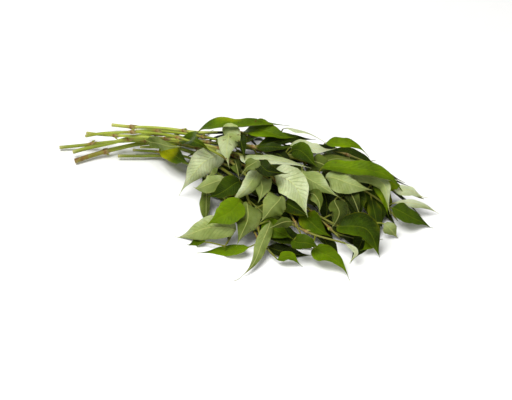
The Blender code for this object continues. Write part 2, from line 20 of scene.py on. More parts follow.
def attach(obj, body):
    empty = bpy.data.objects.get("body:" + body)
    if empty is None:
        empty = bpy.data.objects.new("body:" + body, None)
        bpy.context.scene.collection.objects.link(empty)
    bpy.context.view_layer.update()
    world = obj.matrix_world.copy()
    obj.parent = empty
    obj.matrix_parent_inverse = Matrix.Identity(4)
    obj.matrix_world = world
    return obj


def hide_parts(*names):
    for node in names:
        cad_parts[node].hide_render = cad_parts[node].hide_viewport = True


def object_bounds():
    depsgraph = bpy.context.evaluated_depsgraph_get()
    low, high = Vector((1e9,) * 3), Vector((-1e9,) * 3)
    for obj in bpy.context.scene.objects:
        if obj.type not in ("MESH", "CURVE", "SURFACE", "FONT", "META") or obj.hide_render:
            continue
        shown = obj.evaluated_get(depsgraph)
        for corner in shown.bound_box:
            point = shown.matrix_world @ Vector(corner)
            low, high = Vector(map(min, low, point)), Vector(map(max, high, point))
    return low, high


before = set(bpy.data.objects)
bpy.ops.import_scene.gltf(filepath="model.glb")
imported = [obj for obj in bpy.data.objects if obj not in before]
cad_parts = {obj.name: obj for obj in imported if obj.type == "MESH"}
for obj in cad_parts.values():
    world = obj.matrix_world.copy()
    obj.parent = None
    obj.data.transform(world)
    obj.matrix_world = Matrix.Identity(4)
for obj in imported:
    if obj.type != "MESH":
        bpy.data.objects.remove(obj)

LOG = logging.getLogger("rau_ram")
CAD_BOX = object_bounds()

# The bunch's size, and the view in which its parts are placed
BUNCH_LENGTH = 0.300
BUNCH_LENGTH_PIXELS = 379.0
PIXEL = BUNCH_LENGTH / BUNCH_LENGTH_PIXELS
VIEW_WIDTH_PIXELS = 512.0
VIEW_CENTRE = np.array((256.0, 200.0))
VIEW_DISTANCE = 1.30
VIEW_ELEVATION = np.radians(40.0)
VIEW_RIGHT = np.array((1.0, 0.0, 0.0))
VIEW_UP = np.array((0.0, np.sin(VIEW_ELEVATION), np.cos(VIEW_ELEVATION)))
VIEW_FORWARD = np.array((0.0, np.cos(VIEW_ELEVATION), -np.sin(VIEW_ELEVATION)))
EYE = -VIEW_DISTANCE * VIEW_FORWARD
BUNCH_SHIFT = np.array((0.00898, -0.00009, 0.0))
WORLD_UP = np.array((0.0, 0.0, 1.0))

# The outer surface of the foliage: its upper and front edges in the view, and its height along the ridge
OUTLINE_ACROSS = (60.0, 150.0, 174.0, 188.0, 200.0, 240.0, 280.0, 320.0, 360.0, 400.0, 440.0)
OUTLINE_TOP = (128.0, 126.0, 127.0, 127.0, 124.0, 119.0, 121.0, 134.0, 146.0, 174.0, 205.0)
OUTLINE_FRONT = (166.0, 160.0, 163.0, 192.0, 252.0, 264.0, 266.0, 268.0, 270.0, 232.0, 214.0)
RIDGE_HEIGHT = (0.003, 0.019, 0.025, 0.028, 0.031, 0.038, 0.043, 0.043, 0.037, 0.025, 0.012)
FRONT_BULGE = 0.8

# Stems as the solids have them
STEM_TIP_RADIUS = 0.0007
STEM_SAMPLES = 160
TUBE_TREE_STEP = 4
STEM_HEIGHT_SHARE = 0.50
STEM_CLEARANCE = 0.0014
NODE_SPACING = 0.046
NODE_SWELLING = 1.42
LAST_NODE_TO_TIP = 0.012
TAPER = 1.3
DIRECTION_REACH = 0.003
LEAFY_FROM = 0.30
SETTLING_ROUNDS = 80
SETTLING_SPREAD = 30
SETTLING_SHARE = 0.5
SETTLING_STEP = 0.00002

# Blades as the solids have them
BLADE_THICKNESS = 0.0006
BLADE_CLEARANCE = 0.0005
STALK_HALF_WIDTH = 0.00075
TIP_HALF_WIDTH = 0.00035
OUTLINE_RISE = 0.54
OUTLINE_FALL = 1.22
OUTER_STATIONS = (0.0, 0.16, 0.38, 0.62, 0.84, 1.0)
INNER_STATIONS = (0.0, 0.24, 0.60, 1.0)
BLADE_FOLD = 0.24
UNDERSIDE_FOLD = -0.15
BLADE_WAVE = 0.09
LEAF_TWIST = np.radians(22.0)
TWIST_STEP = 2.4
TWIST_CENTRE = 0.35
HEIGHT_SHARES = (0.82, 1.0, 0.9)
LIFT_SHARES = (0.6, 1.0, 0.8)
LIFTS = (0.0, -0.0015, -0.003, 0.0015, -0.0045, -0.006, 0.003, -0.008, -0.010, 0.005, -0.012, 0.007, -0.015,
         0.010)
LIFTS_OVER_STEMS = (0.0, 0.0015, 0.003, 0.0045, 0.006, 0.008, 0.010, 0.012, 0.015, 0.018)
PARENT_CHOICES = 8
LONGEST_STALK = 0.030
STALK_BACK_SAMPLES = 2

# Inner leaves: the ranges of the seeded draws (degrees, metres, shares of the length) and where they stay
INNER_SEED = 11
INNER_SPACING = 0.014
INNER_TRIES = 50
INNER_ROUNDS = (1, -1, 1, -1)
INNER_TURN = (10.0, 85.0)
INNER_CLIMB = (-35.0, 48.0)
INNER_LENGTH = (0.040, 0.066)
INNER_WIDTH_SHARE = (0.24, 0.33)
INNER_STALK = (0.004, 0.008)
INNER_ROLL = (-60.0, 60.0)
INNER_SAG = (0.10, 0.55)
INNER_FALL = (0.03, 0.97)
INNER_DEPTH = 0.0025
INNER_REACH_PIXEL = 424.0
INNER_UNDER_SHARE = 0.45
# inner leaves lie in the bunch's shade, and their low tones are painted shade
INNER_SHADED_TONE = (0.0, 0.32)
INNER_LIVELINESS = 0.4


class Side(Enum):
    """The side of a leaf that its facing direction shows."""

    UPPER = 0
    UNDER = 1


@dataclass(frozen=True)
class StemPlan:
    """A stem's route in the view from cut end to tip, its radius at the cut, its first node and its look."""

    route: tuple
    radius: float
    first_node: float
    tone: float = 0.5
    browned: float = 0.0


@dataclass(frozen=True, kw_only=True)
class LeafLook:
    """A leaf's look, apart from the solid's form.

    side is the one that its face shows. tone runs from dark at 0 to bright at 1 and holds painted light and
    shade as well as the leaf's own colour: it is low for leaves in shade under others and high for brightly
    lit ones. blemish runs from clean at 0 to spotted at 1, and yellowed from green at 0 to yellow at 1. bite
    gives the place along the blade, the side and the depth of a gap in its margin, breadth the share of the
    solid's width, widest the place of the greatest width, and pointed how fast the blade narrows from there
    to its tip.
    """

    side: Side = Side.UPPER
    tone: float = 0.5
    blemish: float = 0.0
    yellowed: float = 0.0
    bite: tuple = (0.0, 0, 0.0)
    breadth: float = 1.0
    widest: float = 0.33
    pointed: float = 1.6


@dataclass(frozen=True)
class LeafPlan(LeafLook):
    """An outer leaf as the view shows it: three pixels along its midrib, its width, facing and look.

    tilt turns its face from straight up towards the viewer, and roll turns it about its midrib, in degrees.
    fold_share makes its fold stronger or weaker.
    """

    base: tuple
    middle: tuple
    tip: tuple
    width: float
    tilt: float = 28.0
    roll: float = 0.0
    lying: bool = False
    over_stems: bool = False
    fold_share: float = 1.0


STEMS = (
    StemPlan(((128, 141), (160, 139), (190, 141), (240, 147), (290, 156), (340, 170),
              (384, 188)), 0.0012, 0.020, tone=0.3),
    StemPlan(((131, 137), (153, 134), (200, 141), (260, 149), (310, 160), (352, 173), (390, 186),
              (424, 199)), 0.0013, 0.022, tone=0.4),
    StemPlan(((136, 131), (150, 130.5), (170, 132), (220, 140), (270, 151), (318, 167), (358, 187),
              (386, 206), (398, 221)), 0.0012, 0.018, tone=0.5),
    StemPlan(((118, 156), (142, 156), (161, 156), (190, 165), (212, 182), (228, 205), (233, 230),
              (224, 248)), 0.0013, 0.040, tone=0.35, browned=0.15),
    StemPlan(((133, 150), (160, 152), (195, 160), (225, 180), (243, 208), (258, 238),
              (277, 259)), 0.0011, 0.024, tone=0.3),
    StemPlan(((75, 161), (93, 155), (119, 148), (150, 143), (185, 150), (218, 166), (243, 187), (250, 204),
              (258, 228), (262, 246)), 0.0019, 0.0255, tone=0.55, browned=1.0),
    StemPlan(((59.5, 147.5), (85, 145), (111, 142), (150, 141), (200, 149), (245, 166), (285, 190),
              (318, 217), (340, 238)), 0.0014, 0.0265, tone=0.6, browned=0.1),
    StemPlan(((73, 152), (88, 148), (111, 143), (130, 138.5), (170, 141), (215, 150), (258, 166), (274, 179),
              (300, 203), (330, 222), (362, 235)), 0.0016, 0.047, tone=0.6, browned=0.1),
    StemPlan(((87, 133), (100, 134.5), (129, 136), (160, 138), (210, 146), (262, 162), (312, 181),
              (350, 205), (376, 225)), 0.0012, 0.030, tone=0.75, browned=0.2),
    StemPlan(((86, 136), (101, 133.5), (119, 132.5), (135, 132), (175, 137), (225, 158), (262, 192),
              (284, 219), (305, 231), (348, 244)), 0.0012, 0.040, tone=0.65, browned=0.2),
    StemPlan(((140, 147), (175, 148), (215, 160), (250, 178), (285, 206),
              (302, 236)), 0.0011, 0.030, tone=0.3),
    StemPlan(((112, 125), (133, 127), (150, 127.5), (170, 129), (193, 132), (242, 133), (290, 141),
              (336, 151), (368, 163), (394, 176)), 0.0014, 0.017, tone=0.8, browned=0.1),
)

UNDER = Side.UNDER
# Each leaf's tone copies how bright it looks, so the tones are painted light and shade as well as colour: the
# low ones are painted shade of leaves lying under others.
OUTER_LEAVES = (
    # upper edge
    LeafPlan((283, 129), (302, 131), (326, 142), 0.009, 5, 40, side=UNDER, tone=1.0, breadth=0.8,
             pointed=2.4),
    LeafPlan((290, 147), (312, 148), (335, 153), 0.012, 25, side=UNDER, tone=0.95),
    LeafPlan((291, 151), (308, 157), (317, 170), 0.016, 30, tone=0.45),
    LeafPlan((326, 143), (346, 144), (371, 153), 0.012, 15, tone=0.92, breadth=0.75, pointed=1.8),
    LeafPlan((245, 131), (268, 132), (297, 140), 0.016, 15, tone=0.75),
    LeafPlan((199, 131), (245, 126), (290, 124.5), 0.016, 8, 10, tone=0.75, breadth=1.2, pointed=2.0),
    LeafPlan((257, 147), (275, 147), (297, 148), 0.010, 20, tone=0.35),
    # right end
    LeafPlan((372, 177), (386, 176), (401, 182), 0.009, 20, -20, side=UNDER, tone=1.0, pointed=2.2),
    LeafPlan((374, 185), (392, 186), (408, 191), 0.010, 25, tone=0.9),
    LeafPlan((395, 191), (412, 191), (427, 200), 0.010, 20, side=UNDER, tone=0.95, pointed=2.4),
    LeafPlan((395, 203), (420, 204.5), (438.5, 214), 0.009, 30, side=UNDER, tone=0.95, breadth=0.7),
    LeafPlan((392, 208), (413, 218), (435, 227), 0.016, 25, tone=0.45, pointed=2.0),
    LeafPlan((384, 224), (390, 229), (397, 238), 0.010, 40, side=UNDER, tone=0.62),
    LeafPlan((322, 168), (364, 169), (407, 188), 0.017, 18, tone=0.75, breadth=0.8, widest=0.4,
             pointed=1.1),
    # left part
    LeafPlan((236, 139), (242, 150), (243, 162), 0.010, 45, tone=0.15),
    # middle, inner layer
    LeafPlan((258, 165), (270, 172), (290, 175), 0.013, 30, tone=0.1),
    LeafPlan((308, 160), (322, 164), (342, 172), 0.013, 30, side=UNDER, tone=0.15),
    LeafPlan((240, 182), (224, 191), (207, 199), 0.016, 35, tone=0.35),
    LeafPlan((262, 176), (262, 189), (258, 204), 0.015, 45, side=UNDER, tone=0.55),
    LeafPlan((322, 192), (327, 210), (322, 232), 0.016, 45, tone=0.1),
    LeafPlan((303, 213), (313, 224), (331, 238), 0.015, 40, tone=0.6),
    LeafPlan((350, 192), (356, 207), (353, 224), 0.017, 45, tone=0.1),
    LeafPlan((335, 200), (339, 213), (331, 228), 0.015, 45, side=UNDER, tone=0.15),
    LeafPlan((286, 203), (297, 209), (310, 219), 0.015, 45, tone=0.3),
    LeafPlan((262, 223), (277, 231), (294, 238), 0.014, 35, tone=0.7),
    LeafPlan((292, 222), (281, 223), (268, 228), 0.009, 35, side=UNDER, tone=0.3),
    LeafPlan((366, 232), (370, 241), (362, 252), 0.012, 40, tone=0.9),
    # right, outer layer
    LeafPlan((331, 215), (345, 220), (359, 219), 0.011, 40, side=UNDER, tone=0.42),
    LeafPlan((338, 226), (366, 229), (382, 255), 0.019, 30, tone=0.4, fold_share=1.5, pointed=1.3),
    LeafPlan((374, 188), (377, 210), (382, 230), 0.021, 50, tone=0.5, breadth=1.1),
    LeafPlan((372, 185), (384, 196), (389, 215), 0.010, 45, tone=0.85, breadth=0.85),
    LeafPlan((347, 176), (384, 184), (391, 214), 0.012, 30, side=UNDER, tone=0.72),
    LeafPlan((326, 178), (348, 183), (371, 190), 0.018, 40, side=UNDER, tone=0.66, fold_share=1.8,
             pointed=1.3),
    LeafPlan((302, 170), (317, 184), (339, 200), 0.018, 45, side=UNDER, tone=0.58),
    LeafPlan((310, 194), (318, 200), (321, 214), 0.010, 45, side=UNDER, tone=0.35),
    # left, outer layer
    LeafPlan((226, 180), (210, 184), (191, 191), 0.014, 40, side=UNDER, tone=0.58),
    LeafPlan((256, 162), (248, 167), (239, 174), 0.011, 40, side=UNDER, tone=0.45),
    LeafPlan((234, 160), (237, 169), (238.5, 181), 0.009, 45, side=UNDER, tone=0.2, fold_share=1.8),
    LeafPlan((240.5, 156), (273, 160), (311, 168.5), 0.012, 35, side=UNDER, tone=0.9, bite=(0.36, 1, 0.75),
             breadth=0.72, pointed=1.3),
    LeafPlan((214, 167), (211, 173), (205, 180), 0.008, 45, side=UNDER, tone=0.5),
    # front edge
    LeafPlan((205, 242), (197, 243), (187, 246), 0.010, 20, tone=0.65),
    LeafPlan((249, 247), (223, 251), (197, 253), 0.014, 10, lying=True, tone=0.8, pointed=1.9),
    LeafPlan((277, 259), (290, 257), (303, 266), 0.010, 15, tone=0.85, breadth=0.85, pointed=2.2),
    LeafPlan((294, 240), (307, 243), (321, 249), 0.014, 40, tone=0.55, breadth=0.9),
    LeafPlan((346, 244), (356, 253), (348, 263), 0.009, 40, side=UNDER, tone=0.95, breadth=0.45),
    LeafPlan((314, 248), (329, 255), (352, 280), 0.017, 35, tone=0.85, fold_share=2.2, widest=0.22,
             pointed=2.2, breadth=0.8),
    LeafPlan((241, 201), (227, 214), (206, 226), 0.021, 45, tone=0.85, fold_share=0.7, widest=0.38),
    LeafPlan((235, 231), (205, 229), (172.5, 238), 0.017, 40, side=UNDER, tone=0.66),
    LeafPlan((247.5, 203), (247, 222), (236, 246), 0.018, 50, side=UNDER, tone=0.35, fold_share=2.4),
    LeafPlan((269, 221), (260, 250), (237, 283), 0.0085, 50, side=UNDER, tone=0.42, breadth=1.1, pointed=2.8),
    LeafPlan((280, 197), (272, 208), (262, 224), 0.019, 55, side=UNDER, tone=0.45),
    # over the stems at the left
    LeafPlan((160, 147), (173, 155), (190, 163), 0.014, 40, over_stems=True, tone=0.4, yellowed=0.9),
    LeafPlan((183, 138), (198, 143), (214, 149), 0.015, 35, over_stems=True, tone=0.5),
    LeafPlan((146, 140), (165, 144.5), (184, 150), 0.013, 60, -20, over_stems=True, side=UNDER, tone=0.42),
    LeafPlan((217, 150), (201, 165), (175.6, 194.6), 0.020, 50, over_stems=True, side=UNDER, tone=0.88,
             widest=0.28, pointed=1.9),
    LeafPlan((225, 136), (227, 150), (228, 168), 0.020, 40, over_stems=True, side=UNDER, tone=0.76,
             blemish=0.8, widest=0.2),
    # middle, outer layer
    LeafPlan((258, 170), (247, 187), (226, 203), 0.013, 45, side=UNDER, tone=0.75, fold_share=1.6,
             pointed=1.4),
    LeafPlan((274, 176), (296, 187), (309, 217), 0.031, 55, side=UNDER, tone=0.85, widest=0.38, breadth=0.76),
)


def smooth_curve(points: tuple, places: np.ndarray) -> np.ndarray:
    """A smooth curve through the given points.

    The curve is a cubic between two points, and its slope at a point is the mean of the chords beside it,
    each weighted by the other's length.

    Args:
        points: the points to pass through.
        places: where to read the curve, from 0 to 1 by the length of the chords.

    Returns:
        One point for each place.
    """
    points = np.asarray(points, dtype=float)
    chords = np.diff(points, axis=0)
    lengths = np.linalg.norm(chords, axis=1)
    knots = np.concatenate(([0.0], np.cumsum(lengths)))
    chord_slopes = chords / lengths[:, None]
    slopes = np.empty_like(points)
    slopes[0] = chord_slopes[0]
    slopes[-1] = chord_slopes[-1]
    before, after = lengths[:-1, None], lengths[1:, None]
    slopes[1:-1] = (chord_slopes[:-1] * after + chord_slopes[1:] * before) / (before + after)
    reach = np.asarray(places, dtype=float) * knots[-1]
    piece = np.clip(np.searchsorted(knots, reach, side="right") - 1, 0, len(lengths) - 1)
    a = ((reach - knots[piece]) / lengths[piece])[:, None]
    span = lengths[piece][:, None]
    start = (2 * a**3 - 3 * a**2 + 1) * points[piece] + (a**3 - 2 * a**2 + a) * span * slopes[piece]
    end = (3 * a**2 - 2 * a**3) * points[piece + 1] + (a**3 - a**2) * span * slopes[piece + 1]
    return start + end


def point_on_ray(pixels: np.ndarray, heights: np.ndarray) -> np.ndarray:
    """World points where the rays through the view's pixels reach the given heights."""
    offset = (np.asarray(pixels, dtype=float) - VIEW_CENTRE) * PIXEL / VIEW_DISTANCE
    rays = VIEW_FORWARD + offset[:, :1] * VIEW_RIGHT - offset[:, 1:] * VIEW_UP
    reach = (np.asarray(heights) - EYE[2]) / rays[:, 2]
    return EYE + rays * reach[:, None]


def pixel_of(points: np.ndarray) -> np.ndarray:
    """The pixels at which the view shows the points."""
    from_eye = points - EYE
    scale = VIEW_DISTANCE / (PIXEL * (from_eye @ VIEW_FORWARD))
    across = VIEW_CENTRE[0] + (from_eye @ VIEW_RIGHT) * scale
    down = VIEW_CENTRE[1] - (from_eye @ VIEW_UP) * scale
    return np.stack((across, down), axis=1)


def fall_of(pixels: np.ndarray) -> np.ndarray:
    """0 on the foliage's upper edge in the view and 1 on its front edge."""
    across, down = np.asarray(pixels, dtype=float).T
    top = np.interp(across, OUTLINE_ACROSS, OUTLINE_TOP)
    front = np.interp(across, OUTLINE_ACROSS, OUTLINE_FRONT)
    return (down - top) / (front - top)


def outer_height(pixels: np.ndarray) -> np.ndarray:
    """Height of the foliage's outer surface at the pixels: a quarter wave from the ridge to the front."""
    fall = np.clip(fall_of(pixels), 0.0, 1.0)
    across = np.asarray(pixels, dtype=float)[:, 0]
    return np.interp(across, OUTLINE_ACROSS, RIDGE_HEIGHT) * np.cos(0.5 * np.pi * fall) ** FRONT_BULGE


def unit(vectors: np.ndarray) -> np.ndarray:
    """The vectors at length 1."""
    return vectors / np.linalg.norm(vectors, axis=-1, keepdims=True)


def smooth_step(low: float, high: float, values: np.ndarray) -> np.ndarray:
    """0 below low and 1 above high, with a cubic S between them."""
    share = np.clip((values - low) / (high - low), 0.0, 1.0)
    return share * share * (3.0 - 2.0 * share)


def bell(values: np.ndarray, reach: float, power: int = 2) -> np.ndarray:
    """1 where the values are 0, falling on both sides and down to 1/e at the reach."""
    return np.exp(-((values / reach) ** power))


def full_turn(count: int) -> np.ndarray:
    """Evenly spaced angles round a circle."""
    return np.linspace(0.0, 2.0 * np.pi, count, endpoint=False)


def circle_round(left: np.ndarray, over: np.ndarray, angle: np.ndarray) -> np.ndarray:
    """Directions out of an axis at the angles round it, for its directions to the left and over it."""
    return left[..., None, :] * np.cos(angle)[:, None] + over[..., None, :] * np.sin(angle)[:, None]


def spread_peaks(needed: np.ndarray) -> np.ndarray:
    """Each sample's need, carried to its neighbours in a straight slope, so that a rise has no step."""
    spread = needed.copy()
    for shift in range(1, SETTLING_SPREAD):
        share = 1.0 - shift / SETTLING_SPREAD
        spread[shift:] = np.maximum(spread[shift:], needed[:-shift] * share)
        spread[:-shift] = np.maximum(spread[:-shift], needed[shift:] * share)
    return spread


class StemLine:
    """A stem where it lies: its axis as samples, its radius and the places of its nodes."""

    def __init__(self, plan: StemPlan, laid: list["StemLine"]) -> None:
        """Lays the stem at its height in the bunch and settles it over those already laid."""
        places = np.linspace(0.0, 1.0, STEM_SAMPLES)
        pixels = smooth_curve(plan.route, places)
        self.plan = plan
        self.radius = plan.radius + (STEM_TIP_RADIUS - plan.radius) * places**TAPER
        self.heights = self.radius * NODE_SWELLING + STEM_HEIGHT_SHARE * outer_height(pixels)
        self.axis = point_on_ray(pixels, self.heights)
        self.settle(pixels, laid)
        steps = np.linalg.norm(np.diff(self.axis, axis=0), axis=1)
        self.along = np.concatenate(([0.0], np.cumsum(steps)))
        self.length = self.along[-1]
        self.nodes = np.arange(plan.first_node, self.length - LAST_NODE_TO_TIP, NODE_SPACING)

    def settle(self, pixels: np.ndarray, laid: list["StemLine"]) -> None:
        """Lifts the stem along the view's rays until it passes over the stems that already lie there."""
        for _ in range(SETTLING_ROUNDS):
            needed = np.zeros(STEM_SAMPLES)
            for other in laid:
                apart = np.linalg.norm(self.axis[:, None] - other.axis[None], axis=2)
                wanted = self.radius[:, None] + other.radius[None] + STEM_CLEARANCE
                needed = np.maximum(needed, (wanted - apart).max(axis=1))
            if needed.max() <= 0.0:
                return
            rise = SETTLING_SHARE * spread_peaks(np.maximum(needed, 0.0)) + SETTLING_STEP
            self.heights = self.heights + rise
            self.axis = point_on_ray(pixels, self.heights)

    def point(self, reach: float | np.ndarray) -> np.ndarray:
        """The axis point at each length along the stem."""
        return np.stack([np.interp(reach, self.along, self.axis[:, k]) for k in range(3)], axis=-1)

    def radius_at(self, reach: float | np.ndarray) -> np.ndarray:
        """The radius at each length along the stem."""
        return np.interp(reach, self.along, self.radius)

    def direction(self, reach: float) -> np.ndarray:
        """The unit direction towards the tip at a length along the stem."""
        ahead = self.point(min(reach + DIRECTION_REACH, self.length))
        return unit(ahead - self.point(max(reach - DIRECTION_REACH, 0.0)))


class Blade:
    """A leaf as the solids have it: rows of left edge, midrib and right edge, from the stem to the tip."""

    def __init__(self, line: tuple, width: float, facing: np.ndarray, roll: float, stations: tuple,
                 fold: float = BLADE_FOLD, wave: float = 0.0, twist: float = 0.0) -> None:
        """Works out the rows.

        Args:
            line: the stem's point, and the blade's base, middle and tip.
            width: the blade's greatest width.
            facing: the direction that the shown side looks in.
            roll: the turn about the midrib, in radians.
            stations: places of the rows, from 0 at the base to 1 at the tip.
            fold: rise of the margins, as a share of the half width.
            wave: swing of the margins from row to row, as a share of the half width.
            twist: the further turn about the midrib from base to tip, in radians.
        """
        self.line = np.asarray(line)
        self.width = width
        self.facing = facing
        self.roll = roll
        self.fold = fold
        self.wave = wave
        self.twist = twist
        self.stations = np.asarray(stations)
        chords = np.linalg.norm(np.diff(self.line, axis=0), axis=1)
        self.length = chords[1:].sum()
        self.stalk_share = chords[0] / chords.sum()
        places = np.concatenate(([0.0], self.stalk_share + (1.0 - self.stalk_share) * self.stations))
        midrib = smooth_curve(line, places)
        midrib[:, 2] = np.maximum(midrib[:, 2], 0.5 * BLADE_THICKNESS)
        peak = OUTLINE_RISE / (OUTLINE_RISE + OUTLINE_FALL)
        tallest = peak**OUTLINE_RISE * (1.0 - peak) ** OUTLINE_FALL
        outline = 0.5 * width * self.stations**OUTLINE_RISE * (1.0 - self.stations) ** OUTLINE_FALL / tallest
        outline[0] = STALK_HALF_WIDTH
        outline[-1] = TIP_HALF_WIDTH
        half_widths = np.concatenate(([STALK_HALF_WIDTH], outline))[:, None]
        self.across, self.normals = self.frames(midrib, np.concatenate(([0.0], self.stations)))
        rise = fold * half_widths
        swing = wave * half_widths * np.cos(np.pi * np.arange(len(midrib)))[:, None]
        left = midrib - self.across * half_widths + self.normals * (rise + swing)
        right = midrib + self.across * half_widths + self.normals * (rise - swing)
        self.rows = np.stack((left, midrib, right), axis=1)
        self.rows[:, :, 2] = np.maximum(self.rows[:, :, 2], 0.5 * BLADE_THICKNESS)

    def frames(self, midrib: np.ndarray, reach: np.ndarray) -> tuple[np.ndarray, np.ndarray]:
        """The directions to the right margin and out of the shown side, at each point of a midrib.

        Args:
            midrib: the points.
            reach: their way from the base at 0 to the tip at 1, with 0 on the stalk.

        Returns:
            The two directions at each point.
        """
        tangents = unit(np.gradient(midrib, axis=0))
        normals = unit(self.facing - (tangents @ self.facing)[:, None] * tangents)
        across = np.cross(tangents, normals)
        turn = (self.roll + self.twist * (reach - TWIST_CENTRE))[:, None]
        turned = across * np.cos(turn) + normals * np.sin(turn)
        return turned, np.cross(turned, tangents)

    def triangles(self) -> list[tuple[int, int, int]]:
        """The sheet's triangles: each square of the rows is split along the same diagonal."""
        faces = []
        for row in range(len(self.rows) - 1):
            for column in range(2):
                corner = 3 * row + column
                faces.append((corner, corner + 1, corner + 4))
                faces.append((corner, corner + 4, corner + 3))
        return faces

    def clearance_tree(self) -> BVHTree:
        """A search tree of a closed shell round the blade, larger all over by the clearance."""
        margin = 0.5 * BLADE_THICKNESS + BLADE_CLEARANCE
        wider = self.rows.copy()
        wider[:, 0] -= self.across * BLADE_CLEARANCE
        wider[:, 2] += self.across * BLADE_CLEARANCE
        lift = self.normals[:, None] * margin
        points = np.concatenate(((wider + lift).reshape(-1, 3), (wider - lift).reshape(-1, 3)))
        count = 3 * len(self.rows)
        upper = self.triangles()
        lower = [(a + count, c + count, b + count) for a, b, c in upper]
        walls = []
        for row in range(len(self.rows) - 1):
            for corner in (3 * row, 3 * row + 2):
                walls.append((corner, corner + 3, corner + 3 + count))
                walls.append((corner, corner + 3 + count, corner + count))
        return BVHTree.FromPolygons([tuple(p) for p in points], upper + lower + walls)


@dataclass
class LaidLeaf:
    """A leaf where it lies: its blade, look and number, and how much it waves, from 0 to 1."""

    blade: Blade
    look: LeafLook
    number: int
    liveliness: float


class LeafyStem:
    """A stem with the leaves that grow from it, and the search trees of both."""

    def __init__(self, name: str, stem: StemLine) -> None:
        """Starts with a bare stem."""
        self.name = name
        self.stem = stem
        self.leaves: list[LaidLeaf] = []
        self.stem_tree = self.tube_tree()
        self.blade_tree = None

    def tube_tree(self) -> BVHTree:
        """A search tree of the stem as a square tube that holds the round one."""
        samples = np.arange(0, STEM_SAMPLES, TUBE_TREE_STEP)
        radius = self.stem.radius[samples] * NODE_SWELLING
        corners = np.array(((0, 1, 1), (0, -1, 1), (0, -1, -1), (0, 1, -1)))
        points = self.stem.axis[samples][:, None] + radius[:, None, None] * corners
        faces = []
        for ring in range(len(samples) - 1):
            for corner in range(4):
                a = 4 * ring + corner
                b = 4 * ring + (corner + 1) % 4
                faces.append((a, b, b + 4, a + 4))
        return BVHTree.FromPolygons([tuple(p) for p in points.reshape(-1, 3)], faces)

    def add(self, leaf: LaidLeaf) -> None:
        """Keeps a leaf and renews the search tree of all blades."""
        self.leaves.append(leaf)
        points = []
        faces = []
        for kept in self.leaves:
            start = len(points)
            points += [tuple(p) for p in kept.blade.rows.reshape(-1, 3)]
            faces += [tuple(start + corner for corner in face) for face in kept.blade.triangles()]
        self.blade_tree = BVHTree.FromPolygons(points, faces)

    def crosses_blades(self, tree: BVHTree) -> bool:
        """Whether a search tree meets one of the blades."""
        return self.blade_tree is not None and bool(self.blade_tree.overlap(tree))

    def crosses(self, tree: BVHTree) -> bool:
        """Whether a search tree meets the stem or one of the blades."""
        return bool(self.stem_tree.overlap(tree)) or self.crosses_blades(tree)


